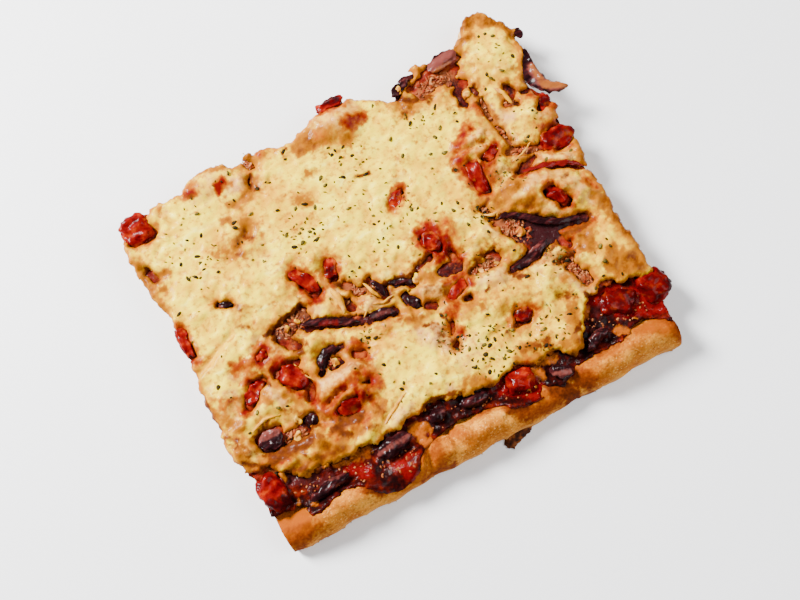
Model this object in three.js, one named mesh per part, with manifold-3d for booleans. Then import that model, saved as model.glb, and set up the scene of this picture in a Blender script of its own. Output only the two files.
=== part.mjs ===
// A square slice of tray-baked tuna pizza: bread base with a raised crust along one side, tomato sauce,
// flaked tuna, melted cheese with holes, tomato chunks, red onion and dried herbs.
// Millimetres, +Z up. The origin is the middle of the slice's flat underside, the crust lies along -Y.
import * as THREE from "three";
import { mergeVertices } from "three/addons/utils/BufferGeometryUtils.js";
import Module from "manifold-3d";

// ---- driving dimensions -------------------------------------------------------------------------
const LEFT = -98; // the four cut sides of the slice
const RIGHT = 103;
const FRONT = -80;
const BACK = 88;
const GAP = 0.3; // clearance between two layers, or between a piece and what it is pressed into

const DOUGH_TOP = 8; // bread under the toppings
const SAUCE_TOP = 10.2; // a thin spread of sauce, thicker along the crust
const TUNA_TOP = 12.8; // bed of flaked tuna
const CHEESE_UNDER = TUNA_TOP + GAP;
const CHEESE_THICK = 3.2;

const RIM_WIDTH = 19; // the raised crust
const RIM_CREST = 15.5;
const RIM_FOOT = 3; // height of its upright outer foot
const RIM_SLANT = -0.02; // the crust's edge runs slightly askew to the other sides

// ---- small tools --------------------------------------------------------------------------------
const wasm = await Module();
wasm.setup();

const rad = THREE.MathUtils.degToRad;
const mix = THREE.MathUtils.lerp;

// A repeatable stream of numbers from 0 to 1.
function randomStream(seed) {
  let state = seed;
  return () => {
    state = (Math.imul(state, 1664525) + 1013904223) >>> 0;
    return state / 4294967296;
  };
}

// Broad unevenness between -1 and 1, the same everywhere it is asked for.
const waves = (x, y) =>
  0.5 * Math.sin(0.21 * x + 1.3 * Math.sin(0.13 * y)) +
  0.5 * Math.sin(0.19 * y + 1.7 * Math.sin(0.11 * x + 2));

// How deep a point lies in an ellipse: 1 at its middle, 0 on its edge and outside.
function depthIn({ x, y, long, wide, turn = 0 }, px, py, grow = 1) {
  const c = Math.cos(rad(turn));
  const s = Math.sin(rad(turn));
  const u = ((px - x) * c + (py - y) * s) / (long * grow);
  const v = ((py - y) * c - (px - x) * s) / (wide * grow);
  return Math.max(0, 1 - u * u - v * v);
}

// Sum of smooth mounds, each fading to nothing at its own edge.
const mounds = (list, px, py) => list.reduce((sum, m) => sum + m.rise * depthIn(m, px, py) ** 2, 0);

// Sum of rounded tongues along a straight edge.
const tongues = (list, px) =>
  list.reduce((sum, t) => sum + t.reach * Math.max(0, 1 - ((px - t.x) / t.half) ** 2) ** 1.5, 0);

// Closed geometry to solid, and back.
function solidOf(geometry) {
  const bare = geometry.clone();
  bare.deleteAttribute("normal");
  bare.deleteAttribute("uv");
  const merged = mergeVertices(bare, 1e-4);
  const vertProperties = merged.attributes.position.array;
  const triVerts = new Uint32Array(merged.index.array);
  return new wasm.Manifold(new wasm.Mesh({ numProp: 3, vertProperties, triVerts }));
}

function geometryOf(solid) {
  const { vertProperties, triVerts } = solid.getMesh();
  const geometry = new THREE.BufferGeometry();
  geometry.setAttribute("position", new THREE.BufferAttribute(vertProperties, 3));
  geometry.setIndex(new THREE.BufferAttribute(triVerts, 1));
  geometry.computeVertexNormals();
  return geometry;
}

const joined = (solids) => solids.reduce((whole, one) => whole.add(one));

// The one body worth keeping after a cut; loose scraps are dropped.
const mainBody = (solid) => solid.decompose().reduce((a, b) => (b.volume() > a.volume() ? b : a));

function moveVertices(geometry, place) {
  const p = geometry.attributes.position;
  for (let i = 0; i < p.count; i++) p.setXYZ(i, ...place(p.getX(i), p.getY(i), p.getZ(i)));
  return geometry;
}

// Evenly spaced numbers from one to another, both ends included.
const spaced = (from, to, count) => Array.from({ length: count + 1 }, (_, i) => mix(from, to, i / count));

// A deep block whose top follows a height function over a net of lines. Its front may follow an edge
// of its own; a layer's prism trims the other sides and the underside.
const DEEP = -9;
function reliefBlock(xs, ys, top, frontOf = null) {
  const box = new THREE.BoxGeometry(1, 1, 1, xs.length - 1, ys.length - 1, 1);
  return solidOf(
    moveVertices(box, (u, v, w) => {
      const x = xs[Math.round((u + 0.5) * (xs.length - 1))];
      const line = ys[Math.round((v + 0.5) * (ys.length - 1))];
      const y = frontOf && line < -50 ? line + frontOf(x) - ys[0] : line;
      return [x, y, w > 0 ? top(x, y) : DEEP];
    }),
  );
}

const TALL = 40; // higher than anything on the slice
function prism(points, from = -1) {
  const upright = new THREE.ExtrudeGeometry(new THREE.Shape(points), { depth: TALL, bevelEnabled: false });
  return solidOf(upright).translate([0, 0, from]);
}

// An ellipse with a slightly wandering edge, as an upright prism.
function ovalPrism({ x, y, long, wide, turn = 0 }) {
  const steps = Math.max(7, Math.round((long + wide) * 0.7));
  const points = spaced(0, 2 * Math.PI, steps).slice(1).map((a) => {
    const wander = 1 + 0.1 * Math.sin(3 * a + x) + 0.06 * Math.sin(5 * a + y);
    const point = new THREE.Vector2(long * wander * Math.cos(a), wide * wander * Math.sin(a));
    return point.rotateAround(new THREE.Vector2(), rad(turn)).add(new THREE.Vector2(x, y));
  });
  return prism(points);
}

// The outline of a layer: three cut sides that wander a little, and a front edge of its own.
function layerPrism({ inset, wander, front, from, step = 7.5 }) {
  const left = LEFT + inset;
  const right = RIGHT - inset;
  const back = BACK - inset;
  const points = [];
  const along = (count, place) => {
    for (let i = 0; i < count; i++) points.push(new THREE.Vector2(...place(i / count)));
  };
  const across = Math.round((right - left) / step);
  const deep = Math.round((back - FRONT) / step);
  const upright = (x, y) => [x + wander * waves(x, 3 * y), y];
  const level = (x, y) => [x, y + wander * waves(3 * x, y)];
  along(across, (t) => [mix(left, right, t), front(mix(left, right, t))]);
  along(deep, (t) => upright(right, mix(front(right), back, t)));
  along(across, (t) => level(mix(right, left, t), back));
  along(deep, (t) => upright(left, mix(back, front(left), t)));
  return prism(points, from);
}

// ---- bread base and crust -----------------------------------------------------------------------
const RIM_HUMPS = [
  { x: -66, half: 17, reach: 1.2 },
  { x: -43, half: 14, reach: -3.2 },
  { x: -17, half: 11, reach: 1 },
  { x: 5, half: 15, reach: 2 },
  { x: 30, half: 14, reach: -2.6 },
  { x: 46, half: 10, reach: -3 },
  { x: 78, half: 26, reach: 2.6 },
  { x: -98, half: 16, reach: -3.6 },
];
const PLEAT = [
  { x: -5, y: -70, long: 10, wide: 3, turn: -63, rise: 2.6 }, // pinched fold across the crust
  { x: -11, y: -70, long: 9, wide: 3, turn: -70, rise: -2 },
  { x: -25, y: -71, long: 9, wide: 4, turn: 62, rise: -1.8 },
];
// A crisp scrap that juts from under the crust.
const BURNT_FLAP = { x: 14, y: -79.5, long: 8, wide: 4.2, thick: 1.6 };
const frontEdge = (x) => FRONT + RIM_SLANT * x + 0.5 * Math.sin(0.17 * x) + 0.3 * Math.sin(0.43 * x);

function doughTop(x, y) {
  const s = y - frontEdge(x);
  if (s >= RIM_WIDTH) return DOUGH_TOP;
  const crest = RIM_CREST + tongues(RIM_HUMPS, x);
  const half = RIM_WIDTH / 2;
  const t = Math.abs(s - half) / half;
  const rim =
    s < half
      ? mix(RIM_FOOT, crest, Math.sqrt(Math.max(0, 1 - t * t)))
      : mix(DOUGH_TOP, crest, 0.5 + 0.5 * Math.cos(Math.PI * t));
  return rim + mounds(PLEAT, x, y) * Math.min(1, s / 3);
}

function makeDough() {
  // The net's rows crowd together where the crust turns over, and one row spans the level bread behind it.
  const rows = [0, 0.1, 0.4, 1.1, 2.4, 4.6, 8, 11.5, 14.5, 17, RIM_WIDTH + 0.5].map((s) => FRONT + s);
  const net = reliefBlock(spaced(LEFT - 2, RIGHT + 2, 36), [...rows, BACK + 2], doughTop, frontEdge);
  const flap = ovalPrism(BURNT_FLAP).trimByPlane([0, 0, 1], 0).trimByPlane([0, 0, -1], -BURNT_FLAP.thick);
  return net.intersect(layerPrism({ inset: 1.2, wander: 0.8, front: () => FRONT - 9, from: 0 })).add(flap);
}

// ---- sauce --------------------------------------------------------------------------------------
const SAUCE_FRONT = -64.5;
const SAUCE_DRIPS = [
  { x: -79, half: 8, reach: 3 },
  { x: -42, half: 15, reach: 12 },
  { x: 25, half: 13, reach: 9 },
  { x: 44, half: 9, reach: 7 },
  { x: 72, half: 14, reach: 4 },
  { x: 104, half: 14, reach: 9 },
  { x: -98, half: 12, reach: -5 },
];
const SAUCE_BAND_BACK = -44.5; // behind this the sauce is a thin, level spread
const sauceFront = (x) => SAUCE_FRONT - tongues(SAUCE_DRIPS, x);

function sauceTop(x, y) {
  if (y >= SAUCE_BAND_BACK) return SAUCE_TOP;
  const heap = 1.6 + 0.9 * waves(2.6 * x, 2.6 * y);
  const slope = doughTop(x, y) > DOUGH_TOP ? doughTop(x, y) + 1.3 + 0.4 * waves(3 * x, 3 * y) : 0;
  const fade = Math.min(1, (SAUCE_BAND_BACK - y) / 6);
  return Math.max(SAUCE_TOP + heap * fade, slope);
}

function makeSauce(dough) {
  const rows = [...spaced(-79, SAUCE_BAND_BACK, 8), BACK + 2];
  const net = reliefBlock(spaced(LEFT - 2, RIGHT + 2, 31), rows, sauceTop);
  return net
    .intersect(layerPrism({ inset: 0.8, wander: 1, front: sauceFront, from: DOUGH_TOP + GAP }))
    .subtract(dough.translate([0, 0, GAP]));
}

// ---- openings in the cheese ---------------------------------------------------------------------
// Each goes down to the bed of tuna, with some loose flakes of tuna in it.
const HOLES = [
  { x: -50, y: 9, long: 8.5, wide: 4.5, turn: 20, flakes: 3 },
  { x: -35, y: 2.5, long: 15, wide: 3.2, turn: -20 },
  { x: -16, y: 7, long: 8.5, wide: 5.5, turn: -15, flakes: 4 },
  { x: -12, y: -5.5, long: 8.5, wide: 3, turn: -15 },
  { x: 2, y: -5, long: 6.5, wide: 4, turn: 100 },
  { x: 9, y: 3.5, long: 11, wide: 2.4, turn: 15, flakes: 1 },
  { x: 59, y: 1, long: 8.5, wide: 5.5, turn: -35, flakes: 4 },
  { x: 74, y: -31, long: 6, wide: 9, flakes: 4 },
  { x: 42, y: -9, long: 8, wide: 3.6, turn: -10, flakes: 2 },
  { x: 51, y: 12, long: 4, wide: 6.5, turn: -20, flakes: 2 },
  { x: 66, y: 80, long: 12.5, wide: 7, turn: 10, flakes: 6 },
  { x: 75.5, y: 46, long: 2.9, wide: 15, turn: 3, flakes: 3 },
  { x: 71, y: 68, long: 3.4, wide: 6, flakes: 2 },
  { x: 89, y: 56, long: 5, wide: 3, turn: 60, flakes: 1 },
  { x: -33, y: 87, long: 5, wide: 3.5, turn: 30, flakes: 2 },
  { x: -70, y: -33, long: 4, wide: 3.6, flakes: 1 },
  { x: 48, y: 85, long: 8, wide: 5, turn: 25 },
];

// ---- tuna ---------------------------------------------------------------------------------------
const FLAKE = { long: 3.4, wide: 2.4, high: 2.2 };
const TUNA_FRONT = -42;

function makeTuna() {
  const front = (x) => TUNA_FRONT + 1.5 * waves(3 * x, 0);
  const spread = layerPrism({ inset: 1.6, wander: 1.3, front, from: SAUCE_TOP + GAP, step: 8 });
  const bed = spread.trimByPlane([0, 0, -1], -TUNA_TOP);
  const next = randomStream(11);
  const flakes = [];
  for (const { x, y, long, wide, turn = 0, flakes: count = 0 } of HOLES) {
    for (let i = 0; i < count; i++) {
      const a = 2.4 * i + next();
      const r = Math.sqrt((i + 0.5) / count);
      const size = 0.75 + 0.5 * next();
      const spot = new THREE.Vector2(
        r * Math.max(0, 0.84 * long - 0.6 * FLAKE.long) * Math.cos(a),
        r * Math.max(0, 0.84 * wide - 0.6 * FLAKE.long) * Math.sin(a),
      ).rotateAround(new THREE.Vector2(), rad(turn));
      const flake = new THREE.IcosahedronGeometry(1, 0);
      flake.scale((FLAKE.long * size) / 2, (FLAKE.wide * size) / 2, FLAKE.high * size);
      flake.rotateZ(3.1 * next());
      flakes.push(solidOf(flake).translate([x + spot.x, y + spot.y, TUNA_TOP + 0.2 * next()]));
    }
  }
  return bed.add(joined(flakes));
}

// ---- cheese -------------------------------------------------------------------------------------
const CHEESE_FRONT = -53;
const CHEESE_TONGUES = [
  { x: -100, half: 30, reach: -17 },
  { x: 11, half: 12, reach: 4 },
  { x: 54, half: 11, reach: 11 },
  { x: 84, half: 22, reach: -11 },
  { x: 104, half: 12, reach: -5 },
];
const cheeseFront = (x) => CHEESE_FRONT - tongues(CHEESE_TONGUES, x) + 0.8 * waves(4 * x, 0);

// Lobes of melted cheese that hang over the cut edge.
const CHEESE_LOBES = [
  { x: 12, y: 82, long: 15, wide: 11.5 },
  { x: -54, y: 88, long: 12, wide: 5 },
  { x: 93, y: 91, long: 9, wide: 8.5 },
  { x: 99, y: 78, long: 8.5, wide: 13 },
  { x: 59, y: 89, long: 3.4, wide: 3.2 },
  { x: -98, y: -22, long: 3.4, wide: 5 },
  { x: 103.5, y: 16, long: 3.2, wide: 5 },
];

const CHEESE_MOUNDS = [
  { x: 12, y: 82, long: 17, wide: 14, rise: 5 }, // round lump over a piece of tomato
  { x: 83, y: 8, long: 27, wide: 16, turn: -25, rise: 6.5 }, // the largest lump, at the right
  { x: 62, y: 38, long: 16, wide: 19, rise: 4.2 },
  { x: 26, y: 13, long: 15, wide: 12, rise: 2.6 },
  { x: -41, y: -27, long: 18, wide: 15, rise: 5 },
  { x: -70, y: -14, long: 12, wide: 9, rise: 2.2 },
  { x: -91, y: -8, long: 10, wide: 14, rise: 1.6 },
  { x: -92, y: -29, long: 9, wide: 8, rise: 3 },
  { x: 55, y: -56, long: 10, wide: 12, rise: 3.2 },
  { x: 30, y: -26, long: 24, wide: 10, turn: -12, rise: 2.6 },
  { x: 60, y: -30, long: 16, wide: 9, turn: 15, rise: 2.4 },
  { x: 0, y: -42, long: 26, wide: 11, rise: 2.2 },
  { x: 91, y: 77, long: 14, wide: 16, rise: 2.6 },
  { x: 94, y: 42, long: 11, wide: 11, rise: 3 },
  { x: -29, y: 29, long: 7, wide: 7, rise: 3 },
  { x: -54, y: 85, long: 16, wide: 8, rise: 2.4 },
  { x: 93, y: -27, long: 13, wide: 15, rise: 1.2 },
  { x: 49, y: -4, long: 10, wide: 8, turn: -40, rise: 2.2 },
  { x: -48, y: -3, long: 10, wide: 6, turn: 20, rise: 1.8 },
  { x: -60, y: 30, long: 60, wide: 40, rise: 0.8 },
];

// Each hole's rim sags, and so does the outer edge.
const SAG = 1.5;
function cheeseTop(x, y) {
  const edge = Math.min(x - LEFT, RIGHT - x, BACK - y, y - cheeseFront(x));
  const sag = SAG * Math.max(0, 1 - Math.max(0, edge) / 5) ** 2;
  const pits = HOLES.reduce((deepest, h) => Math.max(deepest, depthIn(h, x, y, 1.6)), 0);
  return CHEESE_UNDER + CHEESE_THICK + 0.7 * waves(x, y) + 0.35 * waves(3.1 * x, 2.9 * y) +
    mounds(CHEESE_MOUNDS, x, y) - sag - SAG * pits;
}

// Dried herb flakes, in loose drifts: a middle, a spread and how many.
const HERB_DRIFTS = [
  { x: -74, y: 55, spread: 10, count: 3 },
  { x: -26, y: 46, spread: 9, count: 4 },
  { x: 7, y: 67, spread: 8, count: 3 },
  { x: 45, y: 64, spread: 9, count: 3 },
  { x: 42, y: 42, spread: 7, count: 2 },
  { x: 20, y: 29, spread: 10, count: 2 },
  { x: -12, y: 22, spread: 8, count: 2 },
  { x: -85, y: 26, spread: 10, count: 2 },
  { x: 86, y: 71, spread: 6, count: 2 },
  { x: 86, y: 38, spread: 5, count: 2 },
  { x: 18, y: -42, spread: 8, count: 4 },
  { x: 46, y: -47, spread: 8, count: 3 },
  { x: -22, y: -31, spread: 8, count: 2 },
  { x: 30, y: -28, spread: 9, count: 2 },
  { x: 91, y: -28, spread: 7, count: 2 },
  { x: -60, y: 72, spread: 12, count: 2 },
];
const HERB = { long: 2.6, wide: 1.3, thick: 1.2 };

function herbFlakes(isClear) {
  const next = randomStream(5);
  const flakes = [];
  for (const drift of HERB_DRIFTS) {
    for (let i = 0; i < drift.count; i++) {
      const a = 6.3 * next();
      const r = drift.spread * Math.sqrt(next());
      const x = drift.x + r * Math.cos(a);
      const y = drift.y + r * Math.sin(a);
      const size = 0.7 + 0.6 * next();
      const heading = 3.2 * next();
      if (!isClear(x, y)) continue;
      const flake = new THREE.BoxGeometry(HERB.long * size, HERB.wide * size, HERB.thick).rotateZ(heading);
      flakes.push(solidOf(flake).translate([x, y, cheeseTop(x, y) + 0.1]));
    }
  }
  return joined(flakes);
}

function makeCheese(pockets) {
  const net = reliefBlock(spaced(LEFT - 6, RIGHT + 7, 29), spaced(-68, 102, 23), cheeseTop);
  const outline = layerPrism({ inset: 0.6, wander: 1.2, front: cheeseFront, from: CHEESE_UNDER });
  const lobes = joined(CHEESE_LOBES.map((lobe) => ovalPrism(lobe))).trimByPlane([0, 0, 1], CHEESE_UNDER);
  const holes = joined(HOLES.map((hole) => ovalPrism(hole)));
  const sheet = net.intersect(outline.add(lobes)).subtract(holes).subtract(pockets);
  const isClear = (x, y) =>
    HOLES.every((h) => depthIn(h, x, y, 1.5) === 0) &&
    [...TOMATO, ...ONION_SPOTS].every((t) => depthIn(t, x, y, 1.5) === 0);
  return mainBody(sheet).add(herbFlakes(isClear));
}

// ---- tomato chunks ------------------------------------------------------------------------------
// Half-lengths in plan, half-height, and turn. On the sauce band a chunk sits lower than on the tuna.
const ON_TUNA = TUNA_TOP + GAP;
const ON_SAUCE = SAUCE_TOP + 0.4;
const TOMATO = [
  { x: -90.5, y: 83, long: 7.6, wide: 8, high: 5, turn: 10 },
  { x: -94.8, y: 26, long: 2.8, wide: 8.5, high: 4.4 },
  { x: -35.5, y: 25.5, long: 9.5, wide: 3.8, high: 4.6, turn: -65 },
  { x: -22.5, y: 24, long: 6.5, wide: 3.4, high: 4.6, turn: 62 },
  { x: 19, y: 38, long: 5, wide: 2.9, high: 4.4, turn: 52 },
  { x: 24, y: 13, long: 6, wide: 5.8, high: 5.6 },
  { x: 56.5, y: 31, long: 11.5, wide: 4.6, high: 6.4, turn: 82 },
  { x: 66.5, y: 35, long: 5, wide: 4, high: 6.6, turn: 35 },
  { x: 98, y: 27, long: 9, wide: 6, high: 4.6, turn: -12 },
  { x: 102, y: 44.6, long: 4.6, wide: 3, high: 3.4, turn: 70 },
  { x: 83.5, y: 3.5, long: 7, wide: 4, high: 7.4, turn: -60 },
  { x: 43, y: -36.5, long: 5.6, wide: 3.6, high: 4.8, turn: 8 },
  { x: 101, y: -53, long: 8.6, wide: 8.4, high: 6.4, turn: 20, rest: ON_SAUCE },
  { x: 83, y: -52, long: 9, wide: 6.6, high: 5.4, turn: -20, rest: ON_SAUCE },
  { x: 26.5, y: -61, long: 7, wide: 6, high: 6.4, turn: -12, rest: ON_SAUCE + 1 },
  { x: -91.5, y: -51, long: 6.6, wide: 10, high: 6.2, turn: 8, rest: ON_SAUCE },
  { x: -60, y: -11, long: 7.6, wide: 5.4, high: 4.8, turn: -50 },
  { x: -78, y: -8.5, long: 7, wide: 3.6, high: 4.6, turn: 35 },
  { x: -43, y: -35, long: 7.4, wide: 4.4, high: 6.4, turn: -12 },
  { x: 22, y: -12.5, long: 7.6, wide: 2.9, high: 4.8, turn: 28 },
  { x: 14, y: 92, long: 7.6, wide: 3.2, high: 5.2 },
  { x: -68, y: 4, long: 3.2, wide: 3, high: 4.2 },
  { x: -77, y: 4, long: 3.4, wide: 3, high: 3.9 },
];

// A cut chunk: a ball pressed towards a box, its corners uneven and its underside level.
const boxy = (v) => Math.sign(v) * Math.abs(v) ** 0.72;
function tomatoChunk({ x, y, long, wide, high, turn = 0, rest = ON_TUNA }, index) {
  const ball = moveVertices(new THREE.IcosahedronGeometry(1, 1), (u, v, w) => {
    const uneven = 0.92 + 0.13 * Math.sin(5 * u + 3 * v + 4 * w + index);
    return [boxy(u) * long * uneven, boxy(v) * wide * uneven, w > 0 ? boxy(w) * high * uneven : w * GAP];
  });
  return solidOf(ball.rotateZ(rad(turn))).translate([x, y, rest + GAP]);
}

// ---- red onion ----------------------------------------------------------------------------------
// Strips of onion follow a line of points; each has a width, a thickness and the height of its middle line.
const ONION = [
  { line: [[107.5, 73], [103.4, 63], [103.8, 54.6], [108.6, 48], [115.5, 45.6]], width: 7.4, thick: 3.4, z: 17 },
  { line: [[61, 84], [70, 85.6], [79, 85.5]], width: 8, thick: 4.6, z: 15.6 },
  { line: [[40.5, 80.5], [46, 83.5], [53.5, 87]], width: 5, thick: 3.6, z: 15.2 },
  { line: [[53, 6.5], [58, 7], [65, 3], [71, -3], [79, -8], [89, -10.6]], width: 3.6, thick: 3.6, z: 15.1 },
  { line: [[48, -16.6], [56, -16], [64, -14], [70, -11.4]], width: 4.6, thick: 4, z: 15.3 },
  { line: [[-46.5, 8], [-38, 4.6], [-30, 0.6], [-22, -4]], width: 4.2, thick: 3.6, z: 15.1 },
  { line: [[-19, -4.6], [-13, -5], [-6, -7.4]], width: 5, thick: 3.6, z: 15.1 },
  { line: [[-9.6, 11], [-7.6, 5.6], [-7, 0.6]], width: 3.4, thick: 3.4, z: 15.1 },
  { line: [[-3, 5], [2, 3.6], [8, -0.6]], width: 3, thick: 3.2, z: 15 },
  { line: [[0.6, -4], [2.4, -7], [4.6, -10]], width: 4.8, thick: 3.4, z: 15 },
  { line: [[-47.6, -15], [-46, -10.4], [-41, -8.2], [-35.5, -9.6]], width: 3.4, thick: 4, z: 15.3 },
  { line: [[-87, -30.6], [-81, -30.4], [-75.6, -32]], width: 9.6, thick: 6, z: 16.4 },
  { line: [[-65, -31.4], [-59.6, -30]], width: 4.2, thick: 4, z: 15.3 },
  { line: [[-45, -60], [-36, -58.6], [-26, -58.2]], width: 8.6, thick: 4.6, z: 13.8 },
  { line: [[39, -63.6], [44, -66.4], [49, -70]], width: 6.6, thick: 4.4, z: 15.4 },
  { line: [[59, -65], [66, -61], [73, -60.4]], width: 5.4, thick: 4, z: 14.4 },
  { line: [[-3, -57.4], [5, -59], [12.6, -59.6]], width: 6, thick: 4, z: 13.6 },
  { line: [[-18, -57.4], [-8, -56]], width: 6, thick: 4, z: 13.6 },
  { line: [[-80, -62.4], [-69, -60.4], [-58, -59.4]], width: 5.4, thick: 4, z: 14 },
  { line: [[108, 83], [109, 76.5]], width: 4, thick: 3.4, z: 15 },
  { line: [[-75, 33.6], [-68, 30.6]], width: 3.2, thick: 3.4, z: 15.1 },
  { line: [[74, 20.4], [88, 17], [97, 13], [102.6, 8]], width: 2.8, thick: 4, z: 19 },
];
const ONION_SIDES = 6;

// A ball drawn out along the line, so that both ends taper; the strip's edges curl up a little.
function onionStrip({ line, width, thick, z }) {
  const curve = new THREE.CatmullRomCurve3(line.map(([x, y]) => new THREE.Vector3(x, y, z)));
  const rings = 3 + line.length;
  const across = new THREE.Vector3();
  const ball = new THREE.SphereGeometry(1, ONION_SIDES, rings).rotateX(Math.PI / 2);
  moveVertices(ball, (u, v, w) => {
    const t = THREE.MathUtils.clamp(0.5 - Math.asin(THREE.MathUtils.clamp(w, -1, 1)) / Math.PI, 0, 1);
    const here = curve.getPointAt(t);
    const ahead = curve.getTangentAt(t);
    across.set(-ahead.y, ahead.x, 0).normalize();
    const blunt = 1 / Math.max(0.25, Math.hypot(u, v)) ** 0.6;
    const side = (-u * blunt * width) / 2;
    return [here.x + across.x * side, here.y + across.y * side, here.z + (v * blunt * thick) / 2];
  });
  return solidOf(ball);
}

// Ovals over each strip, so that herbs keep clear of them.
const ONION_SPOTS = ONION.flatMap(({ line, width }) =>
  line.map(([x, y]) => ({ x, y, long: width, wide: width })),
);

// ---- pockets ------------------------------------------------------------------------------------
// What lies under and around a topping is cut back by an upright pocket, a little wider than the topping.
const CLEAR = GAP + 0.15;

function tomatoPocket({ x, y, long, wide, turn = 0, rest = ON_TUNA }) {
  const points = spaced(0, 2 * Math.PI, 10).slice(1).map((a) => {
    const point = new THREE.Vector2(
      boxy(Math.cos(a)) * (1.1 * long + CLEAR),
      boxy(Math.sin(a)) * (1.1 * wide + CLEAR),
    );
    return point.rotateAround(new THREE.Vector2(), rad(turn)).add(new THREE.Vector2(x, y));
  });
  return prism(points, rest - 0.1);
}

function onionPocket({ line, width, thick, z }) {
  const curve = new THREE.CatmullRomCurve3(line.map(([x, y]) => new THREE.Vector3(x, y, 0)));
  const count = line.length + 1;
  const half = 1.04 * (width / 2) + CLEAR;
  const side = (sign) =>
    spaced(0, 1, count).map((t) => {
      const here = curve.getPointAt(t);
      const ahead = curve.getTangentAt(t);
      const blunt = t === 0 || t === 1 ? 0.62 : 1;
      const overrun = t === 0 ? -CLEAR : t === 1 ? CLEAR : 0;
      return new THREE.Vector2(
        here.x + ahead.x * overrun - sign * ahead.y * half * blunt,
        here.y + ahead.y * overrun + sign * ahead.x * half * blunt,
      );
    });
  return prism([...side(-1), ...side(1).reverse()], z - thick / 2 - GAP);
}

// ---- the slice ----------------------------------------------------------------------------------
const MATERIALS = {
  dough: new THREE.MeshStandardMaterial({ color: 0xc98a4b, roughness: 0.85, metalness: 0 }),
  sauce: new THREE.MeshStandardMaterial({ color: 0x7a1a0e, roughness: 0.35, metalness: 0 }),
  tuna: new THREE.MeshStandardMaterial({ color: 0xb98468, roughness: 0.7, metalness: 0 }),
  cheese: new THREE.MeshStandardMaterial({ color: 0xf3dd92, roughness: 0.4, metalness: 0 }),
  tomato: new THREE.MeshStandardMaterial({ color: 0xb3200f, roughness: 0.3, metalness: 0 }),
  onion: new THREE.MeshStandardMaterial({ color: 0x54233a, roughness: 0.35, metalness: 0 }),
};

const slice = new THREE.Group();
function place(name, solid, material) {
  const mesh = new THREE.Mesh(geometryOf(mainBody(solid)), material);
  mesh.name = name;
  slice.add(mesh);
}

const twoDigits = (index) => String(index + 1).padStart(2, "0");
const chunks = TOMATO.map((spec, i) => tomatoChunk(spec, i));
const strips = ONION.map((spec) => onionStrip(spec));
const pockets = joined([
  ...TOMATO.map((spec) => tomatoPocket(spec)),
  ...ONION.map((spec) => onionPocket(spec)),
]);

const dough = makeDough();
place("dough", dough, MATERIALS.dough);
place("tomato_sauce", makeSauce(dough).subtract(pockets), MATERIALS.sauce);
place("tuna", makeTuna().subtract(pockets), MATERIALS.tuna);
place("cheese", makeCheese(pockets), MATERIALS.cheese);
chunks.forEach((solid, i) => place(`tomato_${twoDigits(i)}`, solid, MATERIALS.tomato));
strips.forEach((solid, i) => place(`onion_${twoDigits(i)}`, solid, MATERIALS.onion));

export default slice;
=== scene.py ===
# %% [markdown]
# # A square slice of tuna pizza
# The slice was cut from a tray of home-baked pizza. From below it is bread, tomato sauce, flaked tuna and
# melted cheese, with chunks of tomato and strips of red onion pushed in and dried herbs on top. One side is
# the tray's edge, where the bread puffed up into a crust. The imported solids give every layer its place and
# size. This lesson gives each of them the form and finish that baking gave the real one.

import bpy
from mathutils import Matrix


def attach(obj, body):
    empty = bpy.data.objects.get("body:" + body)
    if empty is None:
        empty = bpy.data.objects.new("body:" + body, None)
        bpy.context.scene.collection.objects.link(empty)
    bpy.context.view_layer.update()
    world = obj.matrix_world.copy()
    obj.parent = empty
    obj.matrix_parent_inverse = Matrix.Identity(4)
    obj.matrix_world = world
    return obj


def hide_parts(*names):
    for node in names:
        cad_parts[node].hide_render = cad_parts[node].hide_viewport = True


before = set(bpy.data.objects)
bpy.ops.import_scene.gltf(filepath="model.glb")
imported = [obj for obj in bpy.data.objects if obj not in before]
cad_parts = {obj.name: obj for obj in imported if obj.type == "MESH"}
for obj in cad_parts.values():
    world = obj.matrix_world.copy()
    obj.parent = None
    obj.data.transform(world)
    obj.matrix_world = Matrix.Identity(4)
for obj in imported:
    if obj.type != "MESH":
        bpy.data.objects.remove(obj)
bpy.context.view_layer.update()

# %% [markdown]
# ## Helpers for shapes
# Food has no straight edges, so nearly every piece here is a level grid that is trimmed to an outline and
# then raised and dented by height rules. Sculpting by hand would give the same forms, but rules can be read
# and changed. They are sums of spots, which are placed where the real slice has a lump, a hole or a stain,
# and of noise for what is too small to place. NumPy works them out for all vertices at once. Everything is
# in millimetres until a piece is finished.

# %% Spots, edges and noise
import math
import random

import bmesh
import bpy
import numpy as np
from mathutils import Matrix, Vector, noise

MM = 0.001
noise.seed_set(1)  # unseeded, Blender's vector noise comes out differently in each run


def plan(verts):
    """The x and y of every vertex, in mm."""
    return np.array([vert.co.xy for vert in verts]).reshape(-1, 2)


def uneven(points, size, seed, steps=2):
    """Gradient noise: soft lumps from about -1 to 1, size mm across, with finer ones in each further step."""
    turns = np.random.default_rng(seed).uniform(0, 2 * math.pi, (64, 64))
    total = np.zeros(len(points))
    for step in range(steps):
        spot = points * 2**step / size + 17.3 * step
        cell = np.floor(spot).astype(int)
        part = spot - cell
        fade = part**3 * (part * (6 * part - 15) + 10)
        slopes = {}
        for i, j in ((0, 0), (0, 1), (1, 0), (1, 1)):
            turn = turns[(cell[:, 0] + i) % 64, (cell[:, 1] + j) % 64]
            slopes[i, j] = np.cos(turn) * (part[:, 0] - i) + np.sin(turn) * (part[:, 1] - j)
        near = slopes[0, 0] + (slopes[0, 1] - slopes[0, 0]) * fade[:, 1]
        far = slopes[1, 0] + (slopes[1, 1] - slopes[1, 0]) * fade[:, 1]
        total += 1.7 * 0.6**step * (near + (far - near) * fade[:, 0])
    return total


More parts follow.
